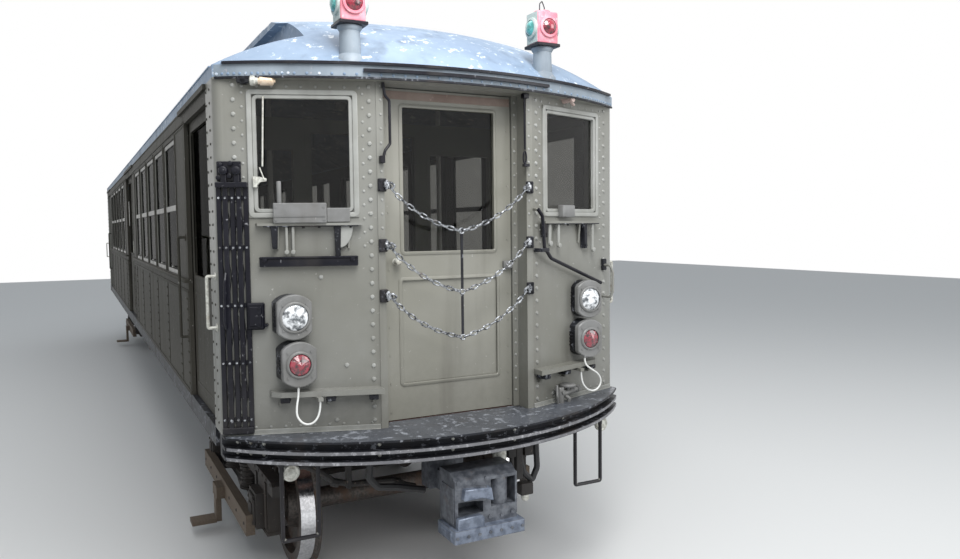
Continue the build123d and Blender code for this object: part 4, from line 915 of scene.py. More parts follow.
def addGate(end):
    shape, studs = Shape(end), Shape(end)
    pitch, low, high, rows = (gate[key] for key in ("pitch", "low", "high", "rows"))
    for bar in range(gate["bars"]):
        place = panelPlace(-gate["first"] - pitch * bar, 0)
        out = .014 + .012 * (bar % 2)
        shape.boxes(place, (-.013, -out - .008, low, .013, -out, high, .002),
                    *((edge, -out - .002, low, edge + .004, -out + .008, high) for edge in (-.013, .009)))
        studs.rounds(place, *((0, -out, z, 0, -out - .013, z, .0065, 8) for z in rows))
        # slanted lattice straps between the bars, folded close
        if bar < gate["bars"] - 1:
            straps = place @ at(0, -.014, 0)
            for near, far in (*zip(rows, rows[1:]), *zip(rows[1:], rows)):
                shape.prism(straps, ((0, near - .012), (-pitch, far - .012), (-pitch, far + .012),
                                     (0, near + .012)), .005)
    middle = gate["first"] + pitch * 2
    span = pitch * 2 / math.cos(car["panelAngle"]) + .013
    shape.boxes(panelPlace(-middle, 0),
                *((-span, -.016, z - .013, span, -.006, z + .013, .002) for z in rows))
    shape.boxes(panelPlace(pitch - middle, 0),
                *((-.03, -.016, z - .02, .03, -.0005, z + .02, .002) for z in (1.38, 2.334)))
    head = panelPlace(-middle, high)
    shape.boxes(head, (-span, -.052, -.005, span, -.0005, .025, .004),
                (-.08, -.012, .03, .05, -.0005, .14, .003),
                *((x - .015, -.034, .02, x + .015, -.01, .105, .003) for x in (-.042, .026)))
    for x in (-.042, .026):
        shape.rounds(head, (x, -.046, .088, x, -.0005, .088, .024, 16, .005),
                     (x, -.052, .088, x, -.046, .088, .01, 6))
    shape.rounds(head, *((x, -.03, z, x, 0, z, .014, 12, .003)
                         for x, z in ((-.07, .05), (-.012, .06), (-.06, .12), (-.005, .128))))
    latch = panelPlace(-1.156, 1.818)
    shape.boxes(latch, (-.048, -.042, -.075, .048, -.0005, .075, .008),
                (-.035, -.05, -.055, .035, -.042, .055, .004))
    shape.rounds(latch, (.056, -.004, -.05, .056, -.04, -.05, .01),
                 *((.02, -.05, z, .02, -.056, z, .008, 6) for z in (-.05, 0, .05)))
    shape.boxes(panelPlace(-middle, low), (-span, -.04, -.018, span, -.0005, .018, .004))
    handle = ((-1.315, 2.06, .045), (-1.325, 2.02, .075), (-1.33, 1.8, .08), (-1.318, 1.755, .045))
    shape.rod(Matrix(), [onPanel(*spot) for spot in handle], .008, bend=.015)
    shape.done("lattice_gate", "gatePaint", "gate_black", replaced=["gate_" + end])
    studs.done("gate_studs", "chainSteel", "chain_steel")


# safety chains across the end doorway: each one's height at the posts, and how far its knot hangs below
chain = {"levels": ((2.543, .265), (2.201, .285), (1.913, .27)), "halfSpan": .4605, "bow": .045, "out": .03,
         "link": .058, "wide": .032, "wire": .0052}


def chainLink():
    # bar through the two round ends of a link, as a mesh of its own
    link = Shape()
    half = chain["wide"] / 2 - chain["wire"]
    straight = chain["link"] / 2 - chain["wire"] - half
    link.rod(Matrix(), [(sign * (straight + half * math.cos(turn)), 0, sign * half * math.sin(turn))
                        for sign in (1, -1) for turn in (-1.3, -.45, .45, 1.3)], chain["wire"], closed=True,
                        ring=1)
    return link.mesh


def linksAlong(points):
    # a link at each pitch along a line, every second one turned
    pitch = chain["link"] - 2 * chain["wire"] - .001
    places, travelled = [], 0.0
    for start, end in zip(points, points[1:]):
        run = end - start
        while travelled <= run.length:
            spot = start + run.normalized() * travelled
            turn = run.to_track_quat("X", "Z").to_matrix().to_4x4()
            places.append(at(*spot) @ turn @ about(90 * (len(places) % 2) + 23, "X"))
            travelled += pitch
        travelled -= run.length
    return places


def addChains(end):
    links, straps, brackets, hooks = (Shape(end) for count in range(4))
    y = postFace - chain["out"]
    places = []
    for level, sag in chain["levels"]:
        for side in (-1, 1):
            hung, knot = Vector((side * chain["halfSpan"], y, level)), Vector((0, y, level - sag))
            chord = knot - hung
            down = Vector((-chord.z, 0, chord.x)).normalized() * side
            places += linksAlong([hung + chord * share + down * chain["bow"] * 4 * share * (1 - share)
                                  for share in spread(0, 1, .06)])
    links.stamp(chainLink(), places)
    for level, sag in chain["levels"]:
        links.rod(Matrix(), oval(0, y, level - sag, .016, .016, .7), .005, closed=True)
        for side in (-1, 1):
            place = at(side * (car["postFront"] + .017), postFace, level)
            brackets.boxes(place, (-.025, -.0165, -.037, .025, 0, .037, .004))
            brackets.rounds(place,
                            *((side * .014, -.016, z, side * .014, -.022, z, .007, 6) for z in (-.026, .026)))
            place = at(side * .468, postFace, level)
            hooks.boxes(place, (-.0155, -.0405, -.0155, .0155, -.014, .0155, .005, 2))
            hooks.rounds(place, (0, -.03, -.026, 0, -.03, .028, .008, 16, .002))
            hooks.rod(place, ((0, -.03, .012), (-side * .022, -.048, .012), (-side * .044, -.042, -.004),
                              (-side * .034, -.03, -.024)), .0065, bend=.008)
    links.done("chain_links", "chainSteel", "chain_steel", replaced=["chains_" + end])
    knots = [level - sag for level, sag in chain["levels"]]
    brackets.boxes(Matrix(), *((-.008, y - .004, low + .014, .008, y + .003, high - .014, .0015)
                               for high, low in zip(knots, knots[1:])))
    brackets.done("chain_brackets", "framePaint", "frame_black")
    hooks.done("chain_hooks", "chainSteel", "chain_steel")


# end door: stiles and rails round the glass and the lower panel, each by half width, low and high
endDoor = {
    "half": .426, "low": 1.152, "high": 3.113, "thick": .036,
    "glass": (.305, 2.158, 3.008), "panel": (.32, 1.3685, 1.9835),
    "section": ((0, .006), (0, -.004), (.004, -.0075), (.013, -.0075), (.022, -.003), (.0245, .006)),
    "hinges": (1.446, 2.146, 2.846),
}


def addEndDoor(end):
    place = at(0, doorFace, 0)
    body = "storm_door_" + end
    half, thick = endDoor["half"], endDoor["thick"]
    glassHalf, glassLow, glassHigh = endDoor["glass"]
    panelHalf, panelLow, panelHigh = endDoor["panel"]
    shape = Shape(end)
    shape.panel(place, (-half, -panelHalf, -glassHalf, glassHalf, panelHalf, half),
                (endDoor["low"], panelLow, panelHigh, glassLow, glassHigh, endDoor["high"]),
                {(2, 3), (1, 1), (2, 1), (3, 1)}, thick)
    shape.boxes(place, (-panelHalf - .012, .008, panelLow - .012, panelHalf + .012, .03, panelHigh + .012))
    for width, low, high in (endDoor["glass"], endDoor["panel"]):
        shape.moulding(place @ at(0, 0, (low + high) / 2), 2 * width, high - low, .008, endDoor["section"])
    shape.rounds(place, *((x, .002, z, x, -.003, z, .006, 8)
                          for x in (.025 - half, half - .025) for z in spread(1.2, 3.07, .17)))
    for z in endDoor["hinges"]:
        shape.rounds(place, (.4215, .0465, z - .015, .4215, .0465, z + .015, .009))
        shape.boxes(place, (.4125, thick - .002, z - .015, half, .0465, z + .015))
    shape.done("end_door_leaf", "doorPaint", "body_paint", body, [body])
    shape = Shape(end)
    shape.boxes(place, (-glassHalf - .004, .015, glassLow - .004, glassHalf + .004, .021, glassHigh + .004))
    shape.done("end_door_glass", "glass", "glass", body)
    # brown strip along the top of the door: painted shadow under the door head
    shape = Shape(end)
    shape.boxes(place, (.004 - half, -.004, 3.052, half - .004, .001, 3.1, .0015))
    shape.done("end_door_head_shadow", "doorHeadShadowPaint", "body_paint", body)
    shape = Shape(end)
    shape.turned(place @ at(-.36, 0, 2.1) @ facing,
                 ((0, 0), (.02, 0), (.02, .003), (.0105, .006), (.0105, .013), (.02, .018), (.0245, .03),
                  (.0235, .042), (.015, .055), (0, .059)))
    shape.done("end_door_knob", "paleMetal", "cast_steel", body)
    shape = Shape(end)
    shape.boxes(place, (.362, -.03, 2.035, .424, 0, 2.085, .006, 2),
                (.37, -.036, 2.048, .40, -.03, 2.072, .003))
    shape.done("end_door_keeper", "lampPaint", "body_paint", body)


# under the steps and the anticlimber; routes of (x, z)
lowGear = {
    "stepX": (.873, 1.077),
    "bar": ((.526, 1.262, .05), (.564, 1.218, .055), (.582, 1.02, .055), (.645, .95, .055),
            (1.165, .762, .055)),
    "fittings": ((-1.015, .938), (1.115, .944)),
    "boltsX": (-1.275, -1.215, -1.155, 1.155, 1.215, 1.275, -.6, -.2, .2, .6),
    "pipe": ((-1.02, .95), (-.969, .905), (-.88, .897), (-.79, .847), (-.712, .78), (-.606, .744),
             (-.465, .733), (-.334, .725), (-.24, .68), (-.18, .66)),
    "hose": ((-.539, .98), (-.554, .83), (-.499, .766), (-.385, .748), (-.262, .715), (-.2, .70)),
    "jumper": ((.42, 1.0), (.43, .86), (.47, .72), (.53, .66), (.57, .74), (.56, .95)),
}


def addLowGear(end):
    whole = Matrix()
    shape = Shape(end)
    y = -panelY(.975) - .095
    near, far = lowGear["stepX"]
    for side in (-1, 1):
        for x in (side * near, side * far):
            shape.rounds(at(x, y, 0), (0, 0, 1.018, 0, 0, .99, .02, 16, .003),
                         (0, 0, .995, 0, 0, .962, .015, 6))
        corners = ((near, 1.02), (near, .568), (far, .568), (far, 1.02))
        shape.rod(whole, [(side * x, y, z) for x, z in corners], .0125, bend=.026)
    shape.rod(whole, panelRoute(1, lowGear["bar"]), .0115, bend=.014)
    shape.done("dark_rods", "gatePaint", "gate_black")

    shape = Shape(end)
    for x, z in lowGear["fittings"]:
        shape.turned(at(x, -7.3, z) @ facing,
                     ((0, -.22), (.026, -.22), (.026, 0), (.048, .002), (.05, .018), (.042, .026),
                      (.03, .022),
                      (.016, .028), (0, .028)), 20)
        shape.boxes(whole, (x - .012, -7.16, z, x + .012, -7.12, 1.03, .003))
    shape.done("pipe_ends", "paleMetal", "cast_steel")

    # brake pipe, hoses and their couplings about the coupler
    shape = Shape(end)
    shape.rod(whole, [(x, -7.1, z) for x, z in lowGear["pipe"]], .019, bend=.02)
    shape.boxes(whole, (-1.06, -7.14, .93, -1.0, -7.06, 1.03, .006),
                (-.63, -7.12, .72, -.6, -7.08, .98, .004),
                (-.655, -7.125, .96, -.575, -7.075, 1.03, .004), (.38, -7.42, .70, .43, -7.34, 1.02, .006),
                (.43, -7.40, .58, .52, -7.33, .66, .01, 2), (.30, -7.46, .86, .36, -7.40, 1.02, .006))
    shape.rounds(whole, (-.72, -7.1, .775, -.68, -7.1, .76, .027, 8, .003),
                 (-.32, -7.1, .713, -.28, -7.1, .70, .027, 8, .003), (.34, -7.43, .88, .34, -7.43, .70, .016))
    shape.done("brake_pipe", "truckPaint", "truck_steel")
    shape = Shape(end)
    shape.rod(whole, [(x, -7.3, z) for x, z in lowGear["hose"]], .022, bend=.03)
    shape.rod(whole, [(x, -7.36, z) for x, z in lowGear["jumper"]], .02, bend=.03)
    shape.done("brake_hoses", "rubber", "truck_steel")
    shape = Shape(end)
    shape.rounds(whole, (.216, -7.5, .81, .216, -7.5, 1.02, .042, 16, .006))
    shape.turned(at(.475, -7.365, .59) @ about(180, "X"),
                 ((0, 0), (.026, 0), (.026, .03), (.02, .05), (0, .055)))
    shape.done("hose_couplings", "paleMetal", "cast_steel")

    shape = Shape(end)
    cock = panelPlace(.79, 1.2)
    shape.rounds(cock, (-.085, -.045, 0, .1, -.045, .012, .019, 16, .003),
                 (-.07, -.045, -.075, -.07, -.045, .05, .022, 16, .004),
                 (-.07, 0, .02, -.07, -.075, .02, .015),
                 (.1, -.045, .012, .135, -.04, .014, .024, 6))
    shape.turned(cock @ at(.005, -.045, .01),
                 ((0, 0), (.012, 0), (.012, .03), (.052, .034), (.056, .044), (.045, .054), (0, .058)))
    shape.rod(cock, ((-.11, -.045, .07), (-.125, -.06, 0), (-.105, -.05, -.06)), .008, bend=.02)
    shape.rod(cock, ((-.03, -.05, -.01), (-.01, -.07, -.03), (-.01, -.06, -.075)), .012, bend=.012)
    shape.done("air_cock", "lampPaint", "lamp_paint")

    # bolts in the anticlimber's grooves
    radius = car["climberRadius"] - .055
    shape = Shape(end)
    shape.rivets([arcPlace(math.asin(x / radius), radius, car["climberCentre"], z)
                  for x in lowGear["boltsX"] for z in (1.055, 1.115)], .011)
    shape.done("climber_bolts", "paleMetal", "cast_steel")


# coupler head: contact box, worn faces, roller and bolts over the CAD casting
coupler = {
    "faceY": -7.73, "boxFront": -7.78, "roller": (.106, -7.67, .77),
    "bolts": ((-.18, .635), (-.1, .63), (.02, .635), (.1, .63), (.17, .64), (-.18, .86), (0, .865)),
    "hook": ((-.165, .765), (-.155, .83), (.012, .822), (.026, .742), (-.05, .768)),
    "lip": ((-.2, .595), (-.195, .665), (-.05, .668), (-.03, .655), (-.03, .595)),
}


def addCoupler(end):
    whole = Matrix()
    face, front = coupler["faceY"], coupler["boxFront"]
    shape = Shape(end)
    shape.boxes(whole, (-.226, front - .001, .527, .226, -7.55, .6025, .005, 2),
                (-.232, -7.74, .545, .232, -7.60, .585, .004))
    shape.prism(at(0, face, 0), coupler["hook"], -.05, .006)
    shape.prism(at(0, face, 0), coupler["lip"], -.04, .005)
    shape.done("contact_box", "contactSteel", "cast_steel")
    shape = Shape(end)
    shape.rounds(at(*coupler["roller"]), (0, 0, -.078, 0, 0, .08, .0565, 32, .006),
                 (0, 0, .078, 0, 0, .095, .03, 6))
    shape.rounds(at(0, front, .565),
                 *((.07 * step, 0, 0, .07 * step, -.006, 0, .01, 6) for step in range(-3, 4)))
    shape.rounds(at(0, face, 0), *((x, .004, z, x, -.008, z, .012, 6) for x, z in coupler["bolts"]))
    shape.boxes(whole, (-.206, -7.72, .62, -.198, -7.56, .83, .002),
                (.198, -7.72, .62, .212, -7.56, .87, .004))
    shape.done("coupler_details", "castSteel", "cast_steel")


for end in ends:
    for addPart in (addEndRivets, addPlatform, addArcStrips, addEndWindows, addEndRods, addEndLamps,
                    addMarkers,
                    addGate, addChains, addEndDoor, addLowGear, addCoupler):
        addPart(end)
    print("end built:", end)

# sides: sashes, belt rails, battens and rivets
sides = {
    "windows": [5.39 - .87 * (count + .5) for count in range(5)],
    "wide": .76,
    "sash": ((-.034, .0105), (-.034, .005), (-.031, .003), (-.002, .003), (0, .0105)),
    "frame": ((-.001, .004), (-.001, -.004), (.004, -.007), (.024, -.007), (.028, -.003), (.028, .002)),
    "railZ": 2.47,
    "run": (.64, 5.88),
    "strips": ((1.146, 1.172, .008), (1.862, 1.884, .007), (1.934, 1.958, .028), (3.03, 3.044, .006)),
    "battens": (.70, 1.04, 1.91, 2.78, 3.65, 4.52, 5.39, 5.82),
    "rivetRows": (1.871, 1.952, 3.012),
    "topRow": 3.115,
    "pitch": .0762,
}


def addSide(side):
    name = sideNames[side]
    sashes, trims, grips, heads, rivets = Shape(), Shape(), Shape(), Shape(), []
    height = car["windowTop"] - car["beltTop"]
    wide, pitch, (near, far) = sides["wide"], sides["pitch"], sides["run"]
    for half in (-1, 1):
        for y in sides["windows"]:
            place = sidePlace(side, half * y, (car["windowTop"] + car["beltTop"]) / 2)
            sashes.moulding(place, wide, height, .036, sides["sash"])
            trims.moulding(place, wide, height, .01, sides["frame"])
            rail = sidePlace(side, half * y, sides["railZ"])
            sashes.boxes(rail, (.02 - wide / 2, .001, -.022, wide / 2 - .02, .0105, .022, .002))
            sashes.rounds(rail, (-.05, .001, -.46, .05, .001, -.46, .006, 8))
        reach = (far - near) / 2
        trims.boxes(sidePlace(side, half * (near + far) / 2, 0),
                    *((-reach, -out, low, reach, .001, high, .003, 2) for low, high, out in sides["strips"]))
        for z in sides["rivetRows"]:
            rivets += [sidePlace(side, half * y, z) for y in spread(near + .03, far - .03, pitch)]
        for y in sides["battens"]:
            trims.boxes(sidePlace(side, half * y, 0), (-.03, -.004, 1.172, .03, .001, 1.862, .0015))
            rivets += [sidePlace(side, half * y + edge, z, .004) for edge in (-.018, .018)
                       for z in spread(1.22, 1.82, .076)]
        # grab rails by the end doorway and at the body's corner
        for y, low, high, rails in ((7.06, 1.75, 2.04, grips), (5.80, 1.55, 2.25, trims)):
            rail = sidePlace(side, half * y, 0)
            rails.rod(rail, ((0, .002, low), (0, -.05, low), (0, -.05, high), (0, .002, high)), .0095,
                      bend=.02)
            rails.rounds(rail, *((0, .001, z, 0, -.006, z, .024, 16, .002) for z in (low, high)))
        rivets += [sidePlace(side, half * y, z) for y in (6.91, 7.02) for z in spread(1.2, 3.08, pitch)]
    rivets += [sidePlace(side, y, sides["topRow"]) for y in spread(-6.85, 6.85, pitch)]
    sashes.done("side_sashes_" + name, "sashPaint", "body_paint")
    # side trims and rivets take the darkened side paint: painted shade
    trims.done("side_trims_" + name, "shadedSidePaint", "body_paint")
    grips.done("corner_grips_" + name, "paleMetal", "cast_steel")
    heads.rivets(rivets, .0085, .6, 6)
    heads.done("side_rivets_" + name, "shadedSidePaint", "body_paint")
    print("side built:", name, len(rivets), "rivets")


# sliding doors: a panelled leaf with its window
leaf = {
    "x": 1.295, "thick": .032, "low": 1.152, "high": 3.040, "stile": .12, "glass": (1.991, 2.958),
    "section": ((0, .008), (0, -.002), (.003, -.0045), (.016, -.0045), (.02, .001), (.02, .008)),
    "panel": (1.26, 1.86), "hangerTop": 3.0595,
}


def addLeaf(end, kind, side):
    body = f"{kind}_door_{end}_{sideNames[side]}"
    near, far = (corner.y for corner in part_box(body))
    half, thick, top = (far - near) / 2, leaf["thick"], leaf["high"]
    place = at(side * (leaf["x"] + thick / 2), (near + far) / 2, 0) @ about(side * 90, "Z")
    clear = half - leaf["stile"]
    glassLow, glassHigh = leaf["glass"]
    shape = Shape()
    shape.panel(place, (-half, -clear, clear, half), (leaf["low"], glassLow, glassHigh, top), {(1, 1)}, thick)
    for (low, high), corner in ((leaf["glass"], .02), (leaf["panel"], .01)):
        shape.moulding(place @ at(0, 0, (low + high) / 2), 2 * clear, high - low, corner, leaf["section"])
    shape.boxes(place, *((x - .03, .007, top - .002, x + .03, thick - .007, leaf["hangerTop"])
                         for x in (-.6 * half, .6 * half)))
    shape.rounds(place, *((x, .001, z, x, -.003, z, .006, 6)
                          for x in (.03 - half, half - .03) for z in spread(1.2, 3.0, .15)))
    # the leaf takes the darkened side paint: painted shade
    shape.done("leaf_" + body, "shadedSidePaint", "body_paint", body, [body])
    shape = Shape()
    shape.boxes(place, (-clear - .004, .013, glassLow - .004, clear + .004, .019, glassHigh + .004))
    # pane in the darker side glass: painted shade
    shape.done("pane_" + body, "shadedSideGlass", "glass", body)
    shape = Shape()
    x = side * (half - .06) * (1 if (kind == "end") == (end == "rear") else -1)
    shape.boxes(place, (x - .018, -.002, 2.0, x + .018, .001, 2.16, .0015))
    shape.rounds(place, (x, 0, 2.05, x, -.0035, 2.05, .011))
    shape.done("grip_" + body, "paleMetal", "cast_steel", body)


for side in sideNames:
    addSide(side)
    for end in ends:
        addLeaf(end, "end", side)
        addLeaf(end, "centre", side)
print("doors hung")

# roof: seams over the deck and monitor, deck windows and ventilators
roof = {
    "arcs": (((1.346, 3.198), (1.083, 3.329), (.82, 3.416)), ((.88, 3.614), (.44, 3.632), (0, 3.686))),
    "crownTop": 3.686,
    "seams": [-6.2 + 1.24 * count for count in range(11)],
    "paneZ": (3.43, 3.565),
    "pane": .46,
    "vents": (-5.0, -2.5, 0, 2.5, 5.0),
}


def arcThrough(first, middle, last, steps):
    # points of the arc through three points of (x, z)
    (ax, az), (bx, bz), (cx, cz) = first, middle, last
    turnSum = 2 * (ax * (bz - cz) + bx * (cz - az) + cx * (az - bz))
    squares = [x * x + z * z for x, z in (first, middle, last)]
    x = (squares[0] * (bz - cz) + squares[1] * (cz - az) + squares[2] * (az - bz)) / turnSum
    z = (squares[0] * (cx - bx) + squares[1] * (ax - cx) + squares[2] * (bx - ax)) / turnSum
    radius = math.hypot(ax - x, az - z)
    start, end = math.atan2(az - z, ax - x), math.atan2(cz - z, cx - x)
    return [(x + radius * math.cos(turn), z + radius * math.sin(turn))
            for turn in spread(start, end, abs(end - start) / steps)]


def addRoof():
    shape, frames, shadePanes, vents = (Shape() for count in range(4))
    low, high = roof["paneZ"]
    half, tall = roof["pane"] / 2, high - low - .04
    for y in roof["seams"]:
        for side in (-1, 1):
            for arc in roof["arcs"]:
                line = arcThrough(*arc, 10)
                outline = line + [(x, z + .004) for x, z in reversed(line)]
                shape.prism(at(0, y - .011, -.001), [(side * x, z) for x, z in outline], .022)
    for side in (-1, 1):
        # lengthwise batten near the eave and drip strip at the deck's edge
        shape.boxes(Matrix(), (side * .861, -6.3, 3.612, side * .879, 6.3, 3.622, .003),
                    (side * 1.335, -7.05, 3.197, side * 1.352, 7.05, 3.206, .002))
        for count in range(20):
            place = at(side * .82, -5.9 + .62 * count, (low + high) / 2) @ about(side * 90, "Z")
            frames.moulding(place, 2 * half, tall, .008, ((0, .001), (0, -.006), (.016, -.006), (.018, .001)))
            # deck window drawn as a near-black sheet: painted shade under the monitor's eave
            shadePanes.boxes(place, (-half - .004, -.0015, -.05, half + .004, .001, .05))
    shape.done("roof_seams", "roofPaint", "roof_paint")
    frames.done("deck_sashes", "gatePaint", "gate_black")
    # the deck windows take the near-black rubber finish: painted shade
    shadePanes.done("deck_shade_panes", "rubber", "gate_black")
    for y in roof["vents"]:
        vents.turned(at(0, y, roof["crownTop"]),
                     ((0, -.012), (.11, -.012), (.11, -.004), (.085, .004), (0, .012)), 28)
    vents.done("roof_vents", "roofPaint", "roof_paint")


addRoof()
print("roof built")

# saloon: pads by puff, lean and corners' (x, z); lamps by x, reach, z and pitch;
# bulkheads by y, window x and both middles' z; pole collars by x, y and z
saloon = {
    "benches": (.80, 5.56),
    "seats": 10,
    "pads": (("cushion", .012, 0, (.80, 1.48), (1.14, 1.592)),
             ("back", .01, .14, (1.105, 1.60), (1.205, 1.93))),
    "base": ((1.246, 1.146), (.866, 1.146), (.866, 1.266), (.812, 1.33), (.812, 1.482), (1.14, 1.482),
             (1.215, 1.9), (1.226, 1.94), (1.246, 1.94)),
    "lamps": (.45, 5.0, 3.585, 1.25),
    "bulkheads": (5.72, .83, 2.4245, 2.086),
    "collars": (.7, (.76, 5.60), (1.146, 2.0)),
}


def cushionShape(low, high, puff):
    # crowned pad between two corners, its sides drawn in between its corners
    part = bmesh.new()
    size = high - low
    bmesh.ops.create_cube(part, size=1)
    bmesh.ops.subdivide_edges(part, edges=part.edges[:], cuts=5, use_grid_fill=True)
    for vert in part.verts:
        crown = [1 - (2 * value) ** 2 for value in vert.co]
        spans = (crown[1] * crown[2], crown[0] * crown[2], crown[0] * crown[1])
        for axis in range(3):
            inward = math.copysign(puff, vert.co[axis]) if abs(vert.co[axis]) > .49 else 0
            vert.co[axis] = low[axis] + (vert.co[axis] + .5) * size[axis] - inward * (1 - spans[axis])
    soften(part, [edge for edge in part.edges if edge.calc_face_angle(0) > .9], .012, 2)
    return part


def addSeats(side, half):
    # one bench of seats on its base
    start, stop = sorted(half * reach for reach in saloon["benches"])
    wide = (stop - start) / saloon["seats"]
    for step in range(saloon["seats"]):
        y = start + wide * step
        for part, puff, lean, (x0, z0), (x1, z1) in saloon["pads"]:
            near, far = sorted((side * x0, side * x1))
            pad = cushionShape(Vector((near, y + .002, z0)), Vector((far, y + wide - .002, z1)), puff)
            pivot = at(side * x0, 0, z0)
            shape = Shape()
            shape.join(pad, pivot @ Matrix.Rotation(side * lean, 4, "Y") @ pivot.inverted())
            name = f"seat_{part}_{sideNames[side]}_{'front' if half < 0 else 'rear'}_{step}"
            shape.done(name, "rattan", "seat_rattan", crease=50)
    return at(0, start, 0), [(side * x, z) for x, z in saloon["base"]], stop - start


def addSaloon():
    bases, lamps, frames, collars = (Shape() for count in range(4))
    collarX, collarY, collarZ = saloon["collars"]
    for side in (-1, 1):
        for half in (-1, 1):
            bases.prism(*addSeats(side, half))
            for spot in (at(side * collarX, half * y, z) for y in collarY for z in collarZ):
                collars.turned(spot, ((.018, 0), (.04, 0), (.038, .012), (.024, .02), (.018, .02), (.018, 0)),
                               16)
    bases.done("seat_bases", "interiorPaint", "seat_rattan", replaced=["seats"])
    lampX, reach, lampZ, pitch = saloon["lamps"]
    for spot in (at(x, y, lampZ) for y in spread(-reach, reach, pitch) for x in (-lampX, lampX)):
        lamps.turned(spot, ((0, -.075), (.03, -.07), (.048, -.045), (.05, -.015), (.035, 0), (0, 0)), 16)
        lamps.turned(spot, ((0, 0), (.065, 0), (.06, .02), (0, .02)), 16)
    lamps.done("ceiling_lamps", "enamel", "pole_enamel")
    wallY, windowX, windowZ, doorZ = saloon["bulkheads"]
    for y in (-wallY, wallY):
        for spot in (at(x, y + face, windowZ) for x in (-windowX, windowX) for face in (-.022, .02)):
            frames.moulding(spot, .54, .927, .01, ((0, 0), (0, .003), (.03, .003), (.03, 0)))
        frames.moulding(at(0, y, doorZ), .84, 1.88, .004, ((0, -.024), (0, .024), (.05, .024), (.05, -.024)))
    frames.done("bulkhead_frames", "interiorPaint", "interior_paint")
    collars.done("pole_collars", "paleMetal", "cast_steel")


addSaloon()
print("saloon furnished")

# trucks: springs, box lids, bolts, brake shoes and polished treads
trucks = {
    "front": {"y": -5.486, "axleZ": .422, "base": .840, "radius": .394},
    "rear": {"y": 5.486, "axleZ": .460, "base": 1.016, "radius": .432},
}
coils = {"x": .94, "y": .3, "radius": .068, "wire": .013, "plate": .085, "perTurn": 11, "steps": 44}


def addTruck(name, look):
    centre, axleZ, base, wheel = (look[key] for key in ("y", "axleZ", "base", "radius"))
    frameLow, frameHigh = axleZ + .16, axleZ + .25
    body = "truck_" + name
    springs, irons, heads, bolts = Shape(), Shape(), Shape(), []
    for side in (-1, 1):
        for y in (centre - coils["y"], centre + coils["y"]):
            rise = (frameLow - axleZ - .016) / coils["steps"]
            stand = at(side * coils["x"], y, 0)
            turns = [2 * math.pi * step / coils["perTurn"] for step in range(coils["steps"] + 1)]
            springs.rod(stand, [(coils["radius"] * math.cos(turn), coils["radius"] * math.sin(turn),
                                 axleZ - .002 + rise * step) for step, turn in enumerate(turns)],
                        coils["wire"], ring=1, bend=.004)
            irons.rounds(stand, (0, 0, frameLow - .012, 0, 0, frameLow + .004, coils["plate"], 24, .003),
                         (0, 0, axleZ - .024, 0, 0, axleZ - .008, coils["plate"], 24, .003))
        for axle in (-1, 1):
            y = centre + axle * base
            box = at(side * 1.04, y, axleZ) @ about(side * 90, "Z")
            irons.boxes(box, (-.085, -.014, -.09, .085, .002, .085, .006, 2),
                        (-.05, -.024, -.06, .05, -.012, .05, .008, 2))
            irons.rounds(box, (-.07, -.008, .098, .07, -.008, .098, .012, 10))
            bolts += [box @ at(x, -.014, z) for x in (-.07, .07) for z in (-.075, .07)]
            # pedestal tie and wear plates beside the box
            irons.boxes(at(0, y, axleZ), (side * .895, -.17, -.15, side * .985, .17, -.122, .004),
                        *((side * .982, edge * .118, -.1, side * .99, edge * .165, .21, .002)
                          for edge in (-1, 1)))
            # brake shoe on the wheel's inner side, hung from the transom
            inner, outer = ([(-axle * radius * math.cos(turn), radius * math.sin(turn))
                             for turn in (-.3, -.1, .1, .3)]
                            for radius in (wheel + .012, wheel + .062))
            irons.prism(at(side * .765 + .0375, y, axleZ) @ about(90, "Z"), inner + outer[::-1], .075, .004)
            shoeY = y - axle * (wheel + .014)
            irons.boxes(Matrix(),
                        (side * .75, shoeY - axle * .045, axleZ - .02, side * .78, shoeY - axle * .065,
                                   frameHigh - .02, .004))
        bolts += [sidePlace(side, y, frameHigh - .018, .98 - car["halfWidth"])
                  for y in spread(centre - base - .28, centre + base + .28, .12)]
        # bolts of the third-rail beam
        bolts += [sidePlace(side, centre + y, axleZ - .09, 1.10 - car["halfWidth"])
                  for y in spread(-base, base, .28) if abs(y) > .1]
    for cross in (-1, 1):
        irons.boxes(at(0, centre + cross * .2, frameHigh),
                    *((x - .04, -.034, -.12, x + .04, .034, -.02, .004) for x in (-.55, 0, .55)))
        y = centre + cross * (base - wheel - .09)
        irons.rounds(at(0, y, axleZ + .02), (-.78, 0, 0, .78, 0, 0, .026, 14))
    reach = base - wheel - .1
    for x in (-.1, .1):
        irons.rod(at(x, centre, axleZ), ((0, -reach, .02), (0, 0, .1), (0, reach, .02)), .016)
    springs.done("truck_springs_" + name, "truckPaint", "truck_steel", body)
    irons.done("truck_irons_" + name, "truckPaint", "truck_steel", body)
    heads.rivets(bolts, .013)
    heads.done("truck_bolts_" + name, "truckPaint", "truck_steel", body)
    for letter, axle in (("a", -1), ("b", 1)):
        wheelset = f"wheelset_{name}_{letter}"
        place = at(0, centre + axle * base, axleZ) @ about(90, "Y")
        treads, hubs = Shape(), Shape()
        for side in (-1, 1):
            treads.turned(place, [(wheel + out, side * across) for out, across in (
                (-.012, .720), (.0035, .720), (-.0024, .8135), (-.012, .8135), (-.012, .720))], 96)
            for turn in range(8):
                hubs.rounds(place @ about(45 * turn, "Z"),
                            (.126, 0, side * .826, .126, 0, side * .838, .013, 6))
            hubs.hoop(place, .094, .112, side * .834, side * .84, 32)
        treads.done("treads_" + wheelset, "polished", "wheel_steel", wheelset, crease=50)
        hubs.done("hubs_" + wheelset, "wheelSteel", "wheel_steel", wheelset)
    print("truck built:", name)


for name, look in trucks.items():
    addTruck(name, look)

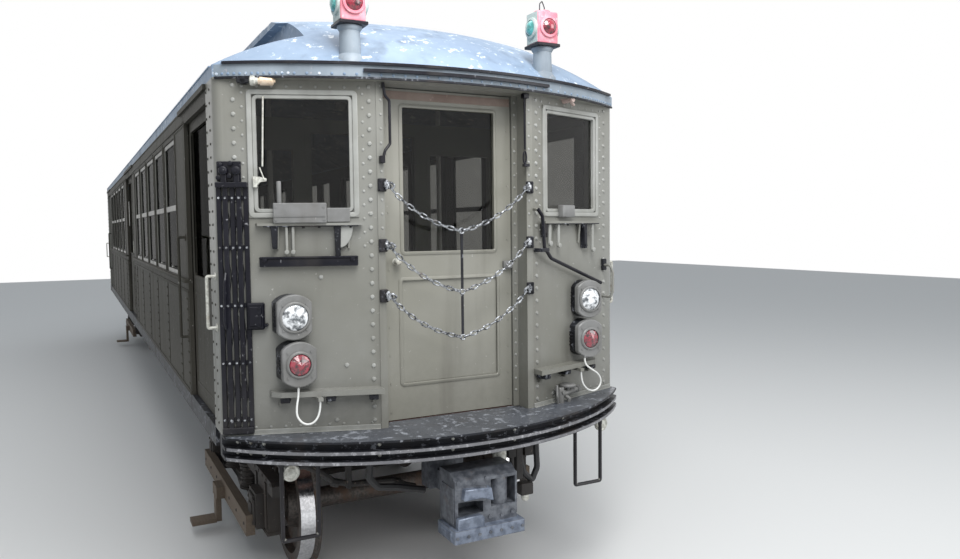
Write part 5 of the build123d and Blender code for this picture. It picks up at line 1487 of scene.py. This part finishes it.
# under the floor: lids on the boxes (side, outer face, y range, bottom), tank bands, pipes and grids
under = {
    "boxes": ((1, 1.08, -2.25, -.70, .520), (-1, 1.08, -2.25, -.70, .560), (1, 1.08, 1.0, 2.25, .600)),
    "top": .986,
    "tank": (-.82, .70, .70, 2.26, .19),
    "pipes": ((.985, .20, .022), (.95, .26, .016)),
    "brackets": (-3.6, -2.2, -.75, .75, 2.2, 3.6),
}


def addUnderfloor():
    shape, heads, bolts = Shape(), Shape(), []
    for side, face, start, stop, bottom in under["boxes"]:
        half, tall = (stop - start) / 6, (under["top"] - bottom) / 2 - .04
        for y in (start + half, start + 3 * half, start + 5 * half):
            lid = at(side * face, y, (bottom + under["top"]) / 2) @ about(side * 90, "Z")
            shape.boxes(lid, (.02 - half, -.008, -tall, half - .02, .001, tall, .004, 2),
                        (-.05, -.022, -.02, .05, -.006, .02, .005))
            shape.rounds(lid, (.06 - half, -.012, tall - .01, half - .06, -.012, tall - .01, .009, 8))
            bolts += [lid @ at(x, -.008, z) for x in (.04 - half, half - .04) for z in (.03 - tall, 0)]
    x, z, near, far, radius = under["tank"]
    along = at(x, 0, z) @ about(-90, "X")
    for y in (near + .05, (near + far) / 2, far - .06):
        shape.hoop(along, radius - .004, radius + .006, y - .025, y + .025, 40)
    for y, out in ((near, -1), (far, 1)):
        shape.turned(along, ((0, y - out * .002), (radius - .006, y - out * .002),
                             (radius * .8, y + out * .03),
                             (radius * .4, y + out * .05), (0, y + out * .055)), 32)
    for side in (-1, 1):
        for z, inset, radius in under["pipes"]:
            shape.rod(at(side * (car["halfWidth"] - inset), 0, z), ((0, -4.4, 0), (0, 4.4, 0)), radius)
        for y in under["brackets"]:
            shape.boxes(sidePlace(side, y, 0, -.14), (-.02, 0, .93, .02, .13, .99, .004))
    shape.boxes(Matrix(), (-.98, -.46, .955, -.60, .42, .99, .004),
                *((-.95, y, .78, -.62, y + .03, .96, .004)
                  for y in (-.42 + .07 * count for count in range(12))))
    shape.done("underfloor_details", "framePaint", "frame_black")
    heads.rivets(bolts, .011)
    heads.done("underfloor_bolts", "castSteel", "frame_black")


addUnderfloor()
print("underfloor built")

# floor, backdrop and lamps: name, place, aim, size and power
studio = {
    "floorSize": 60.0,
    "floorColor": (.74, .74, .73),
    "worldColor": (.86, .93, 1.0),
    "worldStrength": .45,
    "lamps": (
        ("key lamp", (-2.5, -16.0, 9.0), (0, -6.5, 1.8), 5.0, 560),
        ("fill lamp", (8.0, -15.0, 5.0), (0, -6.5, 1.6), 6.0, 380),
        ("top lamp", (0, -4.0, 11.0), (0, -4.0, 1.6), 9.0, 380),
        ("sky gap lamp", (-.4, -9.2, 5.4), (-.6, -7.3, 2.7), 1.8, 130),
    ),
}


def addStudio():
    world = bpy.data.worlds.new("studio")
    bpy.context.scene.world = world
    world.use_nodes = True
    nodes, link = world.node_tree.nodes, world.node_tree.links.new
    shade, plain = nodes["Background"], nodes.new("ShaderNodeBackground")
    shade.inputs["Color"].default_value = (*studio["worldColor"], 1)
    shade.inputs["Strength"].default_value = studio["worldStrength"]
    plain.inputs["Color"].default_value = (1, 1, 1, 1)
    path = nodes.new("ShaderNodeLightPath")
    seen = path.outputs["Is Camera Ray"]
    for ray in ("Is Glossy Ray", "Is Transmission Ray"):
        either = nodes.new("ShaderNodeMath")
        either.operation = "MAXIMUM"
        link(seen, either.inputs[0])
        link(path.outputs[ray], either.inputs[1])
        seen = either.outputs[0]
    mix = nodes.new("ShaderNodeMixShader")
    for slot, output in enumerate((seen, shade.outputs[0], plain.outputs[0])):
        link(output, mix.inputs[slot])
    link(mix.outputs[0], nodes["World Output"].inputs["Surface"])
    sheet = bmesh.new()
    bmesh.ops.create_grid(sheet, x_segments=1, y_segments=1, size=studio["floorSize"] / 2)
    mesh = bpy.data.meshes.new("studio_floor")
    sheet.to_mesh(mesh)
    sheet.free()
    mesh.materials.append(Finish("studio floor",
                                 {"Base Color": (*studio["floorColor"], 1), "Roughness": .9}).material)
    addObject("studio_floor", mesh)
    for name, place, aim, size, power in studio["lamps"]:
        data = bpy.data.lights.new(name, "AREA")
        data.size = size
        data.energy = power
        lamp = addObject(name, data)
        lamp.location = place
        lamp.rotation_euler = (Vector(aim) - Vector(place)).to_track_quat("-Z", "Y").to_euler()


addStudio()
bpy.context.scene.view_settings.view_transform = "Standard"
print("studio built")
